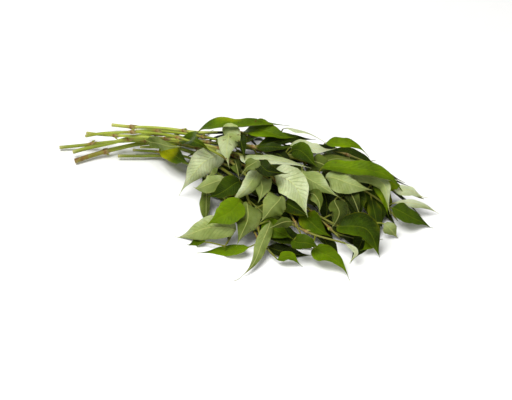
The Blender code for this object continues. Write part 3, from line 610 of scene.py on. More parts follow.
class BunchLayout:
    """Lays the stems, then the outer leaves from the nearest to the deepest, then the inner ones."""

    def __init__(self) -> None:
        """Lays the whole bunch."""
        stems: list[StemLine] = []
        for plan in STEMS:
            stems.append(StemLine(plan, stems))
        self.leafy_stems = [LeafyStem(f"leafy_stem_{number:02d}", stem)
                            for number, stem in enumerate(stems, start=1)]
        self.leaf_count = 0
        for number in reversed(range(len(OUTER_LEAVES))):
            self.lay_outer_leaf(OUTER_LEAVES[number], number)
        self.look_draws = np.random.default_rng(INNER_SEED + 1)
        self.lay_inner_leaves()

    def is_clear(self, blade: Blade, owner: LeafyStem, own_too: bool) -> bool:
        """Whether a blade lies clear of all other leafy stems, and of its own stem's blades if asked."""
        tree = blade.clearance_tree()
        if own_too and owner.crosses_blades(tree):
            return False
        return not any(other.crosses(tree) for other in self.leafy_stems if other is not owner)

    def keep(self, owner: LeafyStem, blade: Blade, look: LeafLook, liveliness: float) -> None:
        """Adds a leaf to its stem."""
        owner.add(LaidLeaf(blade, look, self.leaf_count, liveliness))
        self.leaf_count += 1

    def lay_outer_leaf(self, plan: LeafPlan, number: int) -> None:
        """Finds a stem and a lift at which an outer leaf lies clear, and keeps it there.

        The leaf hangs from the nearest stem that gives it room. It may cross that stem's own leaves only
        where it finds no room clear of them.

        Args:
            plan: the leaf as the view shows it.
            number: its place in the list, which sets the way its margins swing.
        """
        pixels = np.array((plan.base, plan.middle, plan.tip), dtype=float)
        surface = outer_height(pixels)
        shares = np.array(HEIGHT_SHARES)
        facing = np.array((0.0, -np.sin(np.radians(plan.tilt)), np.cos(np.radians(plan.tilt))))
        wave = BLADE_WAVE * (1 if number % 2 else -1)
        twist = LEAF_TWIST * np.sin(TWIST_STEP * number)
        fold = plan.fold_share * (UNDERSIDE_FOLD if plan.side is Side.UNDER else BLADE_FOLD)
        if plan.lying:
            facing = WORLD_UP
            wave = twist = fold = 0.0
        for own_too in (True, False):
            for lift in LIFTS_OVER_STEMS if plan.over_stems else LIFTS:
                heights = np.maximum(surface * shares + lift * np.array(LIFT_SHARES), 0.5 * BLADE_THICKNESS)
                if plan.lying:
                    heights[1:] = 0.5 * BLADE_THICKNESS
                points = point_on_ray(pixels, heights)
                for start, owner in self.parents_near(points[0]):
                    blade = Blade((start, *points), plan.width, facing, np.radians(plan.roll),
                                  OUTER_STATIONS, fold, wave, twist)
                    if self.is_clear(blade, owner, own_too):
                        self.keep(owner, blade, plan, 0.0 if plan.lying else 1.0)
                        return

    def parents_near(self, base: np.ndarray) -> list[tuple[np.ndarray, LeafyStem]]:
        """The stalk's start on each of the stems nearest to a leaf's base, nearest first."""
        nearest = []
        for leafy in self.leafy_stems:
            apart = np.linalg.norm(leafy.stem.axis - base, axis=1)
            sample = int(apart.argmin())
            nearest.append((apart[sample], sample, leafy))
        nearest.sort(key=lambda choice: choice[0])
        return [(leafy.stem.axis[max(sample - STALK_BACK_SAMPLES, 0)], leafy)
                for apart, sample, leafy in nearest[:PARENT_CHOICES] if apart <= LONGEST_STALK]

    def lay_inner_leaf(self, leafy: LeafyStem, reach: float, side: int, rng: np.random.Generator) -> None:
        """Draws an inner leaf from a stem until one lies clear and behind the outer surface.

        Args:
            leafy: the stem that it grows from.
            reach: the length along the stem.
            side: 1 for the left of the stem and -1 for the right.
            rng: the seeded draws.
        """
        start = leafy.stem.point(reach)
        forward = leafy.stem.direction(reach)
        for _ in range(INNER_TRIES):
            turn = side * np.radians(rng.uniform(*INNER_TURN))
            climb = np.radians(rng.uniform(*INNER_CLIMB))
            length = rng.uniform(*INNER_LENGTH)
            width = length * rng.uniform(*INNER_WIDTH_SHARE)
            stalk = rng.uniform(*INNER_STALK)
            roll = np.radians(rng.uniform(*INNER_ROLL))
            sag = rng.uniform(*INNER_SAG)
            level = unit(np.array((forward[0] * np.cos(turn) - forward[1] * np.sin(turn),
                                   forward[0] * np.sin(turn) + forward[1] * np.cos(turn), 0.0)))
            heading = level * np.cos(climb) + np.array((0.0, 0.0, np.sin(climb)))
            base = start + heading * stalk
            middle = base + heading * 0.5 * length
            tip = middle + unit(heading - np.array((0.0, 0.0, 2.0 * sag))) * 0.5 * length
            middle[2] = max(middle[2], 0.5 * BLADE_THICKNESS)
            tip[2] = max(tip[2], 0.5 * BLADE_THICKNESS)
            blade = Blade((start, base, middle, tip), width, WORLD_UP, roll, INNER_STATIONS, wave=BLADE_WAVE)
            points = blade.rows[1:].reshape(-1, 3)
            pixels = pixel_of(points)
            fall = fall_of(pixels)
            if fall.min() < INNER_FALL[0] or fall.max() > INNER_FALL[1]:
                continue
            if pixels[:, 0].max() > INNER_REACH_PIXEL:
                continue
            if (points[:, 2] > np.maximum(outer_height(pixels) - INNER_DEPTH, BLADE_THICKNESS)).any():
                continue
            if self.is_clear(blade, leafy, True):
                shown = UNDER if self.look_draws.uniform() < INNER_UNDER_SHARE else Side.UPPER
                # a low tone for an inner leaf: painted shade inside the bunch
                tone = self.look_draws.uniform(*INNER_SHADED_TONE)
                self.keep(leafy, blade, LeafLook(side=shown, tone=tone), INNER_LIVELINESS)
                return

    def lay_inner_leaves(self) -> None:
        """Goes along every stem, with leaves on alternate sides, wherever one finds room."""
        rng = np.random.default_rng(INNER_SEED)
        for first_side in INNER_ROUNDS:
            for leafy in self.leafy_stems:
                side = first_side
                for reach in np.arange(LEAFY_FROM * leafy.stem.length, leafy.stem.length, INNER_SPACING):
                    self.lay_inner_leaf(leafy, reach, side, rng)
                    side = -side


@dataclass
class Shape:
    """Arrays of one closed shape: points, faces, places on the surface, values and face finishes."""

    points: np.ndarray
    faces: list[tuple[int, ...]]
    places: np.ndarray
    values: dict[str, np.ndarray] = field(default_factory=dict)
    finishes: np.ndarray | None = None


def loft(rings: np.ndarray) -> tuple[np.ndarray, list[tuple[int, ...]]]:
    """Joins rings of points into a closed skin.

    Each ring is joined to the next by squares, and the first and the last are closed by triangles to their
    middle. The rings run anticlockwise about the direction from the first to the last, so the faces point
    outwards.

    Args:
        rings: the points, as ring, place on the ring and coordinate.

    Returns:
        The points, with the two middles last, and the faces.
    """
    count, around = rings.shape[:2]
    points = np.concatenate((rings.reshape(-1, 3), rings[:1].mean(axis=1), rings[-1:].mean(axis=1)))
    here = np.arange(around)
    after = (here + 1) % around
    starts = np.arange(count - 1)[:, None] * around
    corners = (starts + here, starts + after, starts + after + around, starts + here + around)
    squares = np.stack(corners, axis=2)
    first = count * around
    last = (count - 1) * around
    faces = [tuple(face) for face in squares.reshape(-1, 4).tolist()]
    faces += [(first, b, a) for a, b in zip(here.tolist(), after.tolist())]
    faces += [(first + 1, last + a, last + b) for a, b in zip(here.tolist(), after.tolist())]
    return points, faces


def rolled_loft(rings: np.ndarray) -> tuple[np.ndarray, list[tuple[int, ...]]]:
    """Joins rings into a closed skin whose last ring meets the first, as on a sleeve with a wall."""
    count, around = rings.shape[:2]
    here = np.arange(around)
    after = (here + 1) % around
    starts = np.arange(count)[:, None] * around
    ahead = (np.arange(count)[:, None] + 1) % count * around
    squares = np.stack((starts + here, starts + after, ahead + after, ahead + here), axis=2)
    return rings.reshape(-1, 3), [tuple(face) for face in squares.reshape(-1, 4).tolist()]


def round_frames(axis: np.ndarray) -> tuple[np.ndarray, np.ndarray, np.ndarray]:
    """Directions along an axis, to its left and over it, at each of its points."""
    forward = unit(np.gradient(axis, axis=0))
    left = unit(np.cross(WORLD_UP, forward))
    return forward, left, np.cross(forward, left)


def make_piece(name: str, shapes: list[Shape], materials: list[bpy.types.Material], node: str,
               sharp_from: float) -> bpy.types.Object:
    """Joins shapes into one mesh object, dresses it and fits it to the frame.

    Args:
        name: the piece's name.
        shapes: the closed shapes that it is made of.
        materials: its finishes, in the order that the shapes' face finishes count.
        node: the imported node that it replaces.
        sharp_from: the angle between faces, in degrees, from which an edge stays sharp.

    Returns:
        The piece.
    """
    sizes = np.cumsum([0] + [len(shape.points) for shape in shapes])
    points = np.concatenate([shape.points for shape in shapes]) + BUNCH_SHIFT
    faces = [tuple(start + corner for corner in face) for start, shape in zip(sizes.tolist(), shapes)
             for face in shape.faces]
    mesh = bpy.data.meshes.new(name)
    mesh.from_pydata(points.tolist(), [], faces)
    corners = np.empty(len(mesh.loops), dtype=np.int32)
    mesh.loops.foreach_get("vertex_index", corners)
    places = np.concatenate([shape.places for shape in shapes])
    mesh.uv_layers.new(name="surface").data.foreach_set("uv", places[corners].ravel())
    for key in shapes[0].values:
        values = np.concatenate([shape.values[key] for shape in shapes]).astype(np.float32)
        mesh.attributes.new(key, "FLOAT", "POINT").data.foreach_set("value", values)
    if shapes[0].finishes is not None:
        finishes = np.concatenate([shape.finishes for shape in shapes]).astype(np.int32)
        mesh.polygons.foreach_set("material_index", finishes)
    for material in materials:
        mesh.materials.append(material)
    mesh.shade_smooth()
    mesh.set_sharp_from_angle(angle=np.radians(sharp_from))
    mesh.update()
    piece = bpy.data.objects.new(name, mesh)
    bpy.context.scene.collection.objects.link(piece)
    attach(piece, "root")
    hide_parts(node)
    LOG.info("%s: %d points, %d faces", name, len(points), len(faces))
    return piece


@dataclass(frozen=True)
class LeafShape:
    """Sizes of a finely modelled leaf, and the spans of its own seeded draws."""

    stalk_rings: int = 5
    blade_rings: int = 33
    columns: tuple = (0.0, 0.04, 0.10, 0.24, 0.42, 0.60, 0.78, 0.91, 1.0)
    drawn_tip: float = 0.40
    drawn_from: float = 0.62
    stalk_half_width: float = 0.00058
    stalk_half_height: float = 0.00048
    tip_half_width: float = 0.00012
    blade_half_thickness: float = 0.00013
    rib_reach: float = 0.00042
    rib_height: float = 0.00030
    rib_groove: float = 0.00018
    rib_left_at_tip: float = 0.25
    cup: float = 1.25
    half_folds: tuple = (0.45, 1.75)
    fold_growth: float = 0.6
    half_widths_apart: float = 0.10
    ruffle: tuple = (0.06, 0.19)
    ruffle_turns: tuple = (1.2, 3.6)
    rolled_margin: float = 0.34
    notches: tuple = ((1.3, 0.045), (4.1, 0.030), (9.0, 0.014))
    sway: float = 0.0013
    curl: float = 0.0042
    curl_from: float = 0.66
    bite_length: float = 0.045
    yellow_place: float = 0.24
    yellow_length: float = 0.24
    lowest: float = 0.00006
    top_margin: float = 0.003
    first_seed: int = 1000
    stalk_blend: float = 0.06
    full_rib_width: float = 0.002
    full_bend_length: float = 0.05
    drawn_to: float = 0.95
    wave_window: float = 0.6
    ruffle_depth: float = 2.0
    rolled_depth: float = 4.0

    def build(self, leaf: LaidLeaf) -> Shape:
        """A leaf as a closed loft along its midrib.

        A ring goes over the shown side from the left margin to the right one and back under the other side.
        The margins rise with the fold, more on one half than on the other, swing as in the solids, wave as
        a sine along the blade and roll up or down. The midrib stands out of the underside as a bell curve
        and is sunk a little into the upper side.

        Args:
            leaf: the laid leaf.

        Returns:
            The leaf's shape, with its tone, seed, half width in millimetres, stalk, blemish, bite and
            yellowed values and two face finishes.
        """
        blade = leaf.blade
        look = leaf.look
        rng = np.random.default_rng(self.first_seed + leaf.number)
        even = np.linspace(0.0, 1.0, self.blade_rings)
        eased = 0.5 * even + 0.5 * (0.5 - 0.5 * np.cos(np.pi * even))
        stalk = np.linspace(0.0, 1.0, self.stalk_rings, endpoint=False)
        blade_places = blade.stalk_share + (1.0 - blade.stalk_share) * eased
        places = np.concatenate((stalk * blade.stalk_share, blade_places))
        reach = np.concatenate((stalk - 1.0, eased))
        on_blade = np.clip(reach, 0.0, 1.0)[:, None]
        midrib = smooth_curve(blade.line, places)
        across, normals = blade.frames(midrib, on_blade[:, 0])
        midrib = midrib + leaf.liveliness * self.bend(on_blade, rng, across, normals, blade.length)
        shares = np.concatenate((-np.array(self.columns[:0:-1]), np.array(self.columns)))
        front = len(shares)
        f = np.concatenate((shares, shares[-2:0:-1]))[None, :]
        out = np.where(np.arange(f.shape[1]) < front, 1.0, -1.0)[None, :] * (np.abs(f) < 1.0)
        bite = self.bite_share(look.bite, on_blade, f)
        h = self.half_widths(blade.width * look.breadth, look.widest, look.pointed, on_blade)
        distance = np.abs(f) * h * self.unevenness(on_blade, f, rng) * (1.0 - bite)
        height = h * self.rise_of_margins(blade, reach, f, rng, leaf.liveliness)
        body = smooth_step(-self.stalk_blend, self.stalk_blend, reach)[:, None]
        rib = bell(distance, self.rib_reach) * body * np.minimum(1.0, h / self.full_rib_width)
        rib = rib * (1.0 - (1.0 - self.rib_left_at_tip) * on_blade)
        raised = np.where((out > 0.0) == (look.side is Side.UPPER), -self.rib_groove, self.rib_height)
        stalk_round = self.stalk_half_height * np.sqrt(np.clip(1.0 - f**2, 0.0, 1.0))
        thick = body * (self.blade_half_thickness + rib * raised) + (1.0 - body) * stalk_round
        offset = height * body + out * thick
        points = midrib[:, None] + across[:, None] * (np.sign(f) * distance)[..., None]
        points = points + normals[:, None] * offset[..., None]
        points[..., 2] = np.maximum(points[..., 2], self.lowest + (out + 1.0) * self.blade_half_thickness)
        points[..., 2] = self.under_top(points[..., 2])
        skin, faces = loft(points)
        surface = np.stack(np.broadcast_arrays(reach[:, None], 0.5 + 0.5 * f), axis=2).reshape(-1, 2)
        surface = np.concatenate((surface, ((reach[0], 0.5), (reach[-1], 0.5))))
        shown, hidden = look.side.value, 1 - look.side.value
        per_ring = np.where(np.arange(f.shape[1]) < front - 1, shown, hidden)
        finishes = np.concatenate((np.tile(per_ring, len(reach) - 1), per_ring, per_ring))
        values = {"tone": np.full(len(skin), look.tone), "seed": np.full(len(skin), rng.uniform()),
                  "blemish": np.full(len(skin), look.blemish)}
        yellowed = look.yellowed * bell(on_blade - self.yellow_place, self.yellow_length)
        # the last two of each row are the values at the skin's two end points
        for key, value, first, last in (("half", 1000.0 * h, 1.0, 0.1), ("stalk", 1.0 - body, 1.0, 0.0),
                                        ("bite", bite, 0.0, 0.0), ("yellowed", yellowed, 0.0, 0.0)):
            values[key] = np.concatenate((np.broadcast_to(value, distance.shape).ravel(), (first, last)))
        return Shape(skin, faces, surface, values, finishes)

    def bend(self, reach: np.ndarray, rng: np.random.Generator, across: np.ndarray, normals: np.ndarray,
             length: float) -> np.ndarray:
        """How far the midrib strays from the solid's: a slow sway, and a tip that curls as a square.

        Args:
            reach: the way from the base at 0 to the tip at 1.
            rng: the leaf's draws.
            across: directions to the right margin.
            normals: directions out of the shown side.
            length: the blade's length.

        Returns:
            The midrib's shift at each place.
        """
        own = np.clip((reach - self.curl_from) / (1.0 - self.curl_from), 0.0, 1.0) ** 2
        size = min(1.0, length / self.full_bend_length)
        out, aside = rng.uniform(-1.0, 1.0, 2) * self.curl * size
        out_sway, aside_sway = rng.uniform(-1.0, 1.0, 2) * self.sway * size
        wave = np.sin(2.0 * np.pi * reach)
        return (own * out + wave * out_sway) * normals + (own * aside + wave * aside_sway) * across

    def under_top(self, heights: np.ndarray) -> np.ndarray:
        """Heights pressed together under the top of the solids' box, which they near as a power of e."""
        over = np.maximum(heights - (CAD_BOX[1][2] - self.top_margin), 0.0)
        return heights - over + self.top_margin * (1.0 - np.exp(-over / self.top_margin))

    def half_widths(self, width: float, widest: float, pointed: float, reach: np.ndarray) -> np.ndarray:
        """Half the width: powers of the way from base and tip, greatest at the widest place."""
        rise = pointed * widest / (1.0 - widest)
        tallest = widest**rise * (1.0 - widest) ** pointed
        outline = 0.5 * width * reach**rise * (1.0 - reach) ** pointed / tallest
        outline = outline * (1.0 - self.drawn_tip * smooth_step(self.drawn_from, self.drawn_to, reach))
        narrowed = (self.stalk_half_width - self.tip_half_width) * smooth_step(0.0, 1.0, reach)
        return np.maximum(outline, self.stalk_half_width - narrowed)

    def unevenness(self, reach: np.ndarray, f: np.ndarray, rng: np.random.Generator) -> np.ndarray:
        """How much wider or narrower each half is than it should be: its own share plus a sum of sines."""
        left, right = 1.0 + rng.uniform(-1.0, 1.0, 2) * self.half_widths_apart
        share = np.where(f < 0.0, left, right) * np.ones_like(reach)
        for turns, size in self.notches:
            starts = rng.uniform(0.0, 2.0 * np.pi, 2)
            share = share + size * np.sin(2.0 * np.pi * turns * reach + np.where(f < 0.0, *starts))
        return share

    def rise_of_margins(self, blade: Blade, reach: np.ndarray, f: np.ndarray, rng: np.random.Generator,
                        liveliness: float) -> np.ndarray:
        """How far the blade's points stand out of the midrib's plane, as a share of the half width.

        Args:
            blade: the laid blade.
            reach: the way from the base at 0 to the tip at 1, and from -1 to 0 on the stalk.
            f: the place between the margins, from -1 to 1.
            rng: the leaf's draws.
            liveliness: 0 for a leaf that lies flat and up to 1 for a waved one.

        Returns:
            The share at each point of the rings.
        """
        on_blade = np.clip(reach, 0.0, 1.0)[:, None]
        step = np.interp(reach, np.concatenate(([-1.0], blade.stations)), np.arange(len(blade.stations) + 1))
        swing = blade.wave * np.cos(np.pi * step)[:, None]
        folds = rng.uniform(*self.half_folds, 2)
        growth = 1.0 + self.fold_growth * (on_blade - 0.5)
        fold = blade.fold * np.where(f < 0.0, *folds) * growth
        turns = rng.uniform(*self.ruffle_turns, 2)
        starts = rng.uniform(0.0, 2.0 * np.pi, 2)
        waves = np.sin(2.0 * np.pi * np.where(f < 0.0, *turns) * on_blade + np.where(f < 0.0, *starts))
        window = np.sin(np.pi * on_blade) ** self.wave_window
        ruffle = liveliness * rng.uniform(*self.ruffle) * window * np.abs(f) ** self.ruffle_depth * waves
        rolls = liveliness * rng.uniform(-1.0, 1.0, 2) * self.rolled_margin
        rolled = np.where(f < 0.0, *rolls) * window * np.abs(f) ** self.rolled_depth
        return fold * np.abs(f) ** self.cup - f * swing + ruffle + rolled

    def bite_share(self, bite: tuple, reach: np.ndarray, f: np.ndarray) -> np.ndarray:
        """How much of a margin is eaten away: a narrow bell along the blade, on one half of it only."""
        place, side, depth = bite
        return depth * bell(reach - place, self.bite_length, 4) * (np.sign(f) == side)


@dataclass(frozen=True)
class StemShape:
    """Sizes of a finely modelled stem."""

    rings: int = 340
    around: int = 14
    swelling: float = 0.28
    swelling_reach: float = 0.0017
    swelling_shift: float = -0.0005
    ridges: int = 5
    ridge_height: float = 0.025
    cut_flare: float = 0.06
    cut_flare_reach: float = 0.002
    cut_rim: tuple = ((0.34, 0.0011), (0.62, 0.0005), (0.90, 0.00004))
    tip_point: float = 0.35
    tip_reach: float = 0.004
    node_mark_reach: float = 0.0042
    cut_mark_reach: float = 0.0022
    browned_reach: float = 0.022

    def build(self, stem: StemLine) -> Shape:
        """A stem as a closed loft along its axis.

        The radius tapers as in the solids and swells at each node as a bell curve. Low ridges run along it
        as a cosine round the ring. The cut end is dished: three rings step inwards before the rim.

        Args:
            stem: the laid stem.

        Returns:
            The stem's shape, with its tone, node, cut, browned and seed values.
        """
        reach = np.linspace(0.0, stem.length, self.rings)
        axis = stem.point(reach)
        forward, left, over = round_frames(axis)
        apart = reach[:, None] - stem.nodes[None, :]
        swollen = bell(apart - self.swelling_shift, self.swelling_reach).sum(axis=1)
        flare = self.cut_flare * np.exp(-reach / self.cut_flare_reach)
        radius = stem.radius_at(reach) * (1.0 + self.swelling * swollen + flare)
        at_tip = smooth_step(stem.length - self.tip_reach, stem.length, reach)
        radius = radius * (1.0 - (1.0 - self.tip_point) * at_tip)
        angle = full_turn(self.around)
        ridged = 1.0 + self.ridge_height * np.cos(self.ridges * angle)
        circle = circle_round(left, over, angle)
        rings = axis[:, None] + circle * (radius[:, None] * ridged)[..., None]
        dish = [axis[0] + forward[0] * depth + circle[0] * (radius[0] * share * ridged)[:, None]
                for share, depth in self.cut_rim]
        rings = np.concatenate((np.array(dish), rings))
        skin, faces = loft(rings)
        reach = np.concatenate((np.zeros(len(dish)), reach))
        to_node = np.abs(reach[:, None] - stem.nodes[None, :]).min(axis=1)
        node = bell(to_node, self.node_mark_reach)
        cut = np.exp(-reach / self.cut_mark_reach)
        browned = stem.plan.browned * bell(reach, self.browned_reach)
        count = len(rings) * self.around
        turn = np.tile(angle / (2.0 * np.pi), len(rings))
        places = np.stack((np.repeat(reach / BUNCH_LENGTH, self.around), turn), axis=1)
        places = np.concatenate((places, ((0.0, 0.5), (1.0, 0.5))))
        values = {}
        for key, value in (("node", node), ("cut", cut), ("browned", browned)):
            values[key] = np.concatenate((np.repeat(value, self.around), value[[0, -1]]))
        values["tone"] = np.full(count + 2, stem.plan.tone)
        values["seed"] = np.full(count + 2, stem.plan.radius * 1000.0 % 1.0)
        return Shape(skin, faces, places, values)


@dataclass(frozen=True)
class BudShape:
    """Sizes of the small bud that sits beside a node."""

    length: float = 0.0042
    radius: float = 0.0009
    rings: int = 9
    around: int = 8
    lean: float = 0.65
    ends: tuple = (0.02, 0.98)
    foot_share: float = 0.8
    fullness: float = 0.7
    node_value: float = 0.25
    seed_value: float = 0.5

    def build(self, stem: StemLine, node: float, side: float) -> Shape:
        """A bud as a lens-shaped loft that leans away from the stem.

        Its radius is a half sine along its length, drawn towards the base by a power.

        Args:
            stem: the stem that it sits on.
            node: the node's length along the stem.
            side: the angle round the stem, in radians.

        Returns:
            The bud's shape, with the stem's values.
        """
        start = stem.point(node)
        forward = stem.direction(node)
        left = unit(np.cross(WORLD_UP, forward))
        over = np.cross(forward, left)
        away = left * np.cos(side) + over * np.sin(side)
        heading = unit(forward + away * self.lean)
        share = np.linspace(*self.ends, self.rings)
        foot = start + away * stem.radius_at(node) * self.foot_share
        axis = foot + heading * (share * self.length)[:, None]
        radius = self.radius * np.sin(np.pi * share**self.fullness)
        _, side_way, up_way = round_frames(axis)
        circle = circle_round(side_way, up_way, full_turn(self.around))
        skin, faces = loft(axis[:, None] + circle * radius[:, None, None])
        count = len(skin)
        places = np.linspace((0.0, 0.0), (self.ends[0], 1.0), count)
        values = {key: np.full(count, value) for key, value in (
            ("node", self.node_value), ("cut", 0.0), ("browned", 0.0), ("tone", stem.plan.tone),
            ("seed", self.seed_value))}
        return Shape(skin, faces, places, values)


@dataclass(frozen=True)
class SheathShape:
    """Sizes of the papery sheath round the stem above a node."""

    length: float = 0.0034
    before_node: float = 0.0008
    rings: int = 9
    around: int = 48
    wall: float = 0.00010
    gap: float = 0.00012
    flare: float = 0.16
    swelling: float = 0.28
    swelling_reach: float = 0.0017
    teeth: tuple = ((2, 0.18), (3, 0.14), (7, 0.08))
    bristles: int = 12
    bristle_share: float = 0.55
    bristle_power: int = 6
    crinkle: float = 0.05
    crinkles: float = 9.0
    lengths: tuple = (0.55, 1.15)
    flares: tuple = (0.3, 1.0)
    first_seed: int = 7000

    def build(self, stem: StemLine, node: float, number: int) -> Shape:
        """A sleeve with a thin wall, which hugs the node and flares a little towards a torn, bristly rim.

        The rim's place is the sleeve's length changed by a sum of sines round the stem. Its bristles are
        a high power of a cosine. The wall goes up outside and comes back inside.

        Args:
            stem: the stem that it sits on.
            node: the node's length along the stem.
            number: the sheath's number, which seeds its torn rim.

        Returns:
            The sheath's shape, with its rim and seed values.
        """
        rng = np.random.default_rng(self.first_seed + number)
        angle = full_turn(self.around)
        phases = rng.uniform(0.0, 2.0 * np.pi, len(self.teeth))
        torn = 1.0
        for (count, size), phase in zip(self.teeth, phases):
            torn = torn + size * np.sin(count * angle + phase)
        bristles = np.maximum(np.cos(self.bristles * angle), 0.0) ** self.bristle_power
        torn = torn + self.bristle_share * bristles
        size = self.length * rng.uniform(*self.lengths)
        share = np.linspace(0.0, 1.0, self.rings)
        reach = node - self.before_node + share[:, None] * size * torn[None, :]
        centre = stem.point(reach)
        forward = stem.direction(node)
        left = unit(np.cross(WORLD_UP, forward))
        circle = circle_round(left, np.cross(forward, left), angle)
        radius = stem.radius_at(reach) * (1.0 + self.swelling * bell(reach - node, self.swelling_reach))
        radius = radius + self.gap
        radius = radius * (1.0 + self.flare * share[:, None] ** 2 * rng.uniform(*self.flares))
        radius = radius * (1.0 + self.crinkle * share[:, None] * np.sin(self.crinkles * angle + phases[0]))
        outer = centre + circle[None] * (radius + self.wall)[..., None]
        inner = centre + circle[None] * radius[..., None]
        skin, faces = rolled_loft(np.concatenate((outer, inner[::-1])))
        rim = np.concatenate((np.repeat(share, self.around), np.repeat(share[::-1], self.around)))
        turn = np.tile(angle / (2.0 * np.pi), 2 * self.rings)
        count = len(skin)
        values = {"rim": rim, "seed": np.full(count, rng.uniform())}
        return Shape(skin, faces, np.stack((rim, turn), axis=1), values)


def linear(colour: tuple[int, int, int]) -> tuple[float, float, float, float]:
    """A screen colour of 0 to 255 a channel as linear light: its share of 255 to the power 2.2."""
    return (*(float((channel / 255.0) ** 2.2) for channel in colour), 1.0)


class Value:
    """A number that a material's nodes work out. The signs of arithmetic add the nodes."""

    def __init__(self, board: "NodeBoard", socket: bpy.types.NodeSocket) -> None:
        """Keeps the socket that gives the number."""
        self.board = board
        self.socket = socket

    def step(self, operation: str, first: object, second: object = 0.0) -> "Value":
        """One step of arithmetic."""
        node = self.board.tree.nodes.new("ShaderNodeMath")
        node.operation = operation
        self.board.link(first, node.inputs[0])
        self.board.link(second, node.inputs[1])
        return Value(self.board, node.outputs[0])

    def __add__(self, other: object) -> "Value":
        """The sum."""
        return self.step("ADD", self, other)

    def __sub__(self, other: object) -> "Value":
        """This less the other."""
        return self.step("SUBTRACT", self, other)

    def __rsub__(self, other: object) -> "Value":
        """The other less this."""
        return self.step("SUBTRACT", other, self)

    def __mul__(self, other: object) -> "Value":
        """The product."""
        return self.step("MULTIPLY", self, other)

    def __pow__(self, other: object) -> "Value":
        """This to the other's power."""
        return self.step("POWER", self, other)

    def __abs__(self) -> "Value":
        """The size, whatever the sign."""
        return self.step("ABSOLUTE", self)

    def fraction(self) -> "Value":
        """What is left over the whole number below it."""
        return self.step("FRACT", self)

    def held(self) -> "Value":
        """This number, which the step that gives it now holds between 0 and 1."""
        self.socket.node.use_clamp = True
        return self

    def span(self, low: float, high: float, to_low: float, to_high: float) -> "Value":
        """The number carried from one span to another in an S, and held at its ends."""
        node = self.board.tree.nodes.new("ShaderNodeMapRange")
        node.interpolation_type = "SMOOTHSTEP"
        self.board.link(self, node.inputs["Value"])
        for name, number in (("From Min", low), ("From Max", high), ("To Min", to_low), ("To Max", to_high)):
            node.inputs[name].default_value = number
        return Value(self.board, node.outputs["Result"])


